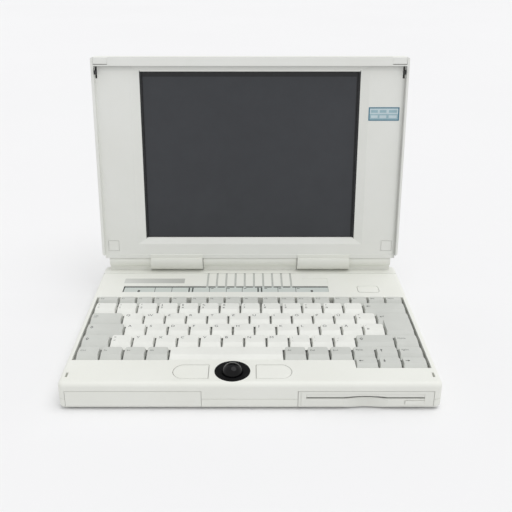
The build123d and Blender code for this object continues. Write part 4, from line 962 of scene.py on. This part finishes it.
class NOTEBOOK_OT_stage(bpy.types.Operator):
    """Pale floor, even studio light and the camera"""

    bl_idname = "notebook.stage"
    bl_label = "Studio Stage"

    def execute(self, context):
        scene = context.scene
        setup = scene.notebook_stage
        scene.view_settings.view_transform = "Standard"
        world = bpy.data.worlds.new("studio")
        scene.world = world
        world.use_nodes = True
        tree = world.node_tree
        sky = tree.nodes["Background"]
        sky.inputs["Color"].default_value = WHITE
        rays = tree.nodes.new("ShaderNodeLightPath")
        seen = tree.nodes.new("ShaderNodeMath")
        seen.operation = "MAXIMUM"
        tree.links.new(rays.outputs["Is Camera Ray"], seen.inputs[0])
        tree.links.new(rays.outputs["Is Glossy Ray"], seen.inputs[1])
        level = tree.nodes.new("ShaderNodeMapRange")
        tree.links.new(seen.outputs[0], level.inputs["Value"])
        level.inputs["To Min"].default_value = setup.sky
        level.inputs["To Max"].default_value = 1.0
        tree.links.new(level.outputs[0], sky.inputs["Strength"])

        half = FLOOR_SIDE / 2
        mesh = bpy.data.meshes.new("floor")
        corners = [(-half, -half, 0), (half, -half, 0), (half, half, 0), (-half, half, 0)]
        mesh.from_pydata(corners, [], [range(4)])
        floor = bpy.data.objects.new("floor", mesh)
        scene.collection.objects.link(floor)
        paper = Finish("floor_paper", roughness=0.9, specular=0.1)
        tone = paper.noise(1.6, 3.0)
        color = tuple(setup.floor)
        paper.feed("Base Color", paper.ramp(tone, (0.3, tint(color, 0.985)), (0.7, color)))
        mesh.materials.append(paper.material)

        sun = bpy.data.lights.new("key_light", "SUN")
        sun.energy = setup.lamp
        sun.angle = SUN_SPREAD
        lamp = bpy.data.objects.new("key_light", sun)
        lamp.rotation_euler = SUN_TURN
        scene.collection.objects.link(lamp)

        view = bpy.data.cameras.new("camera")
        view.lens = setup.lens
        view.sensor_width = SENSOR_W
        view.shift_x, view.shift_y = LENS_SHIFT
        camera = bpy.data.objects.new("camera", view)
        camera.location = (0.0, -setup.camera_back, setup.camera_up)
        camera.rotation_euler = (math.pi / 2 - setup.pitch, 0, 0)
        scene.collection.objects.link(camera)
        scene.camera = camera
        return {"FINISHED"}


FLOOR_SIDE = 24.0
SUN_SPREAD = math.radians(50)
SUN_TURN = (math.radians(6), math.radians(14), 0)
SENSOR_W = 36.0
LENS_SHIFT = (0.0117, -0.0723)


class NOTEBOOK_PT_panel(bpy.types.Panel):
    """Steps of the dressing, with their settings"""

    bl_idname = "NOTEBOOK_PT_panel"
    bl_label = "Notebook Dressing"
    bl_space_type = "VIEW_3D"
    bl_region_type = "UI"
    bl_category = "Notebook"

    def draw(self, context):
        layout = self.layout
        for operator in OPERATORS:
            layout.operator(operator.bl_idname)
        for group in SETTINGS:
            settings = getattr(context.scene, group)
            box = layout.box()
            for name in settings.__annotations__:
                box.prop(settings, name)


OPERATORS = (
    NOTEBOOK_OT_plastics,
    NOTEBOOK_OT_inner_parts,
    NOTEBOOK_OT_keys,
    NOTEBOOK_OT_deck_marks,
    NOTEBOOK_OT_screen,
    NOTEBOOK_OT_sockets,
    NOTEBOOK_OT_ball,
    NOTEBOOK_OT_stage,
)
SETTINGS = {
    "notebook_finish": FinishSettings,
    "notebook_marks": MarkSettings,
    "notebook_stage": StageSettings,
}


def register():
    for cls in (*SETTINGS.values(), *OPERATORS, NOTEBOOK_PT_panel):
        bpy.utils.register_class(cls)
    for name, group in SETTINGS.items():
        setattr(bpy.types.Scene, name, bpy.props.PointerProperty(type=group))


def unregister():
    for name in SETTINGS:
        delattr(bpy.types.Scene, name)
    for cls in (NOTEBOOK_PT_panel, *reversed(OPERATORS), *SETTINGS.values()):
        bpy.utils.unregister_class(cls)


def main():
    """Runs every step in order."""
    register()
    bpy.ops.notebook.plastics()
    bpy.ops.notebook.inner_parts()
    bpy.ops.notebook.keys()
    bpy.ops.notebook.deck_marks()
    bpy.ops.notebook.screen()
    bpy.ops.notebook.sockets()
    bpy.ops.notebook.ball()
    bpy.ops.notebook.stage()


if __name__ == "__main__":
    main()
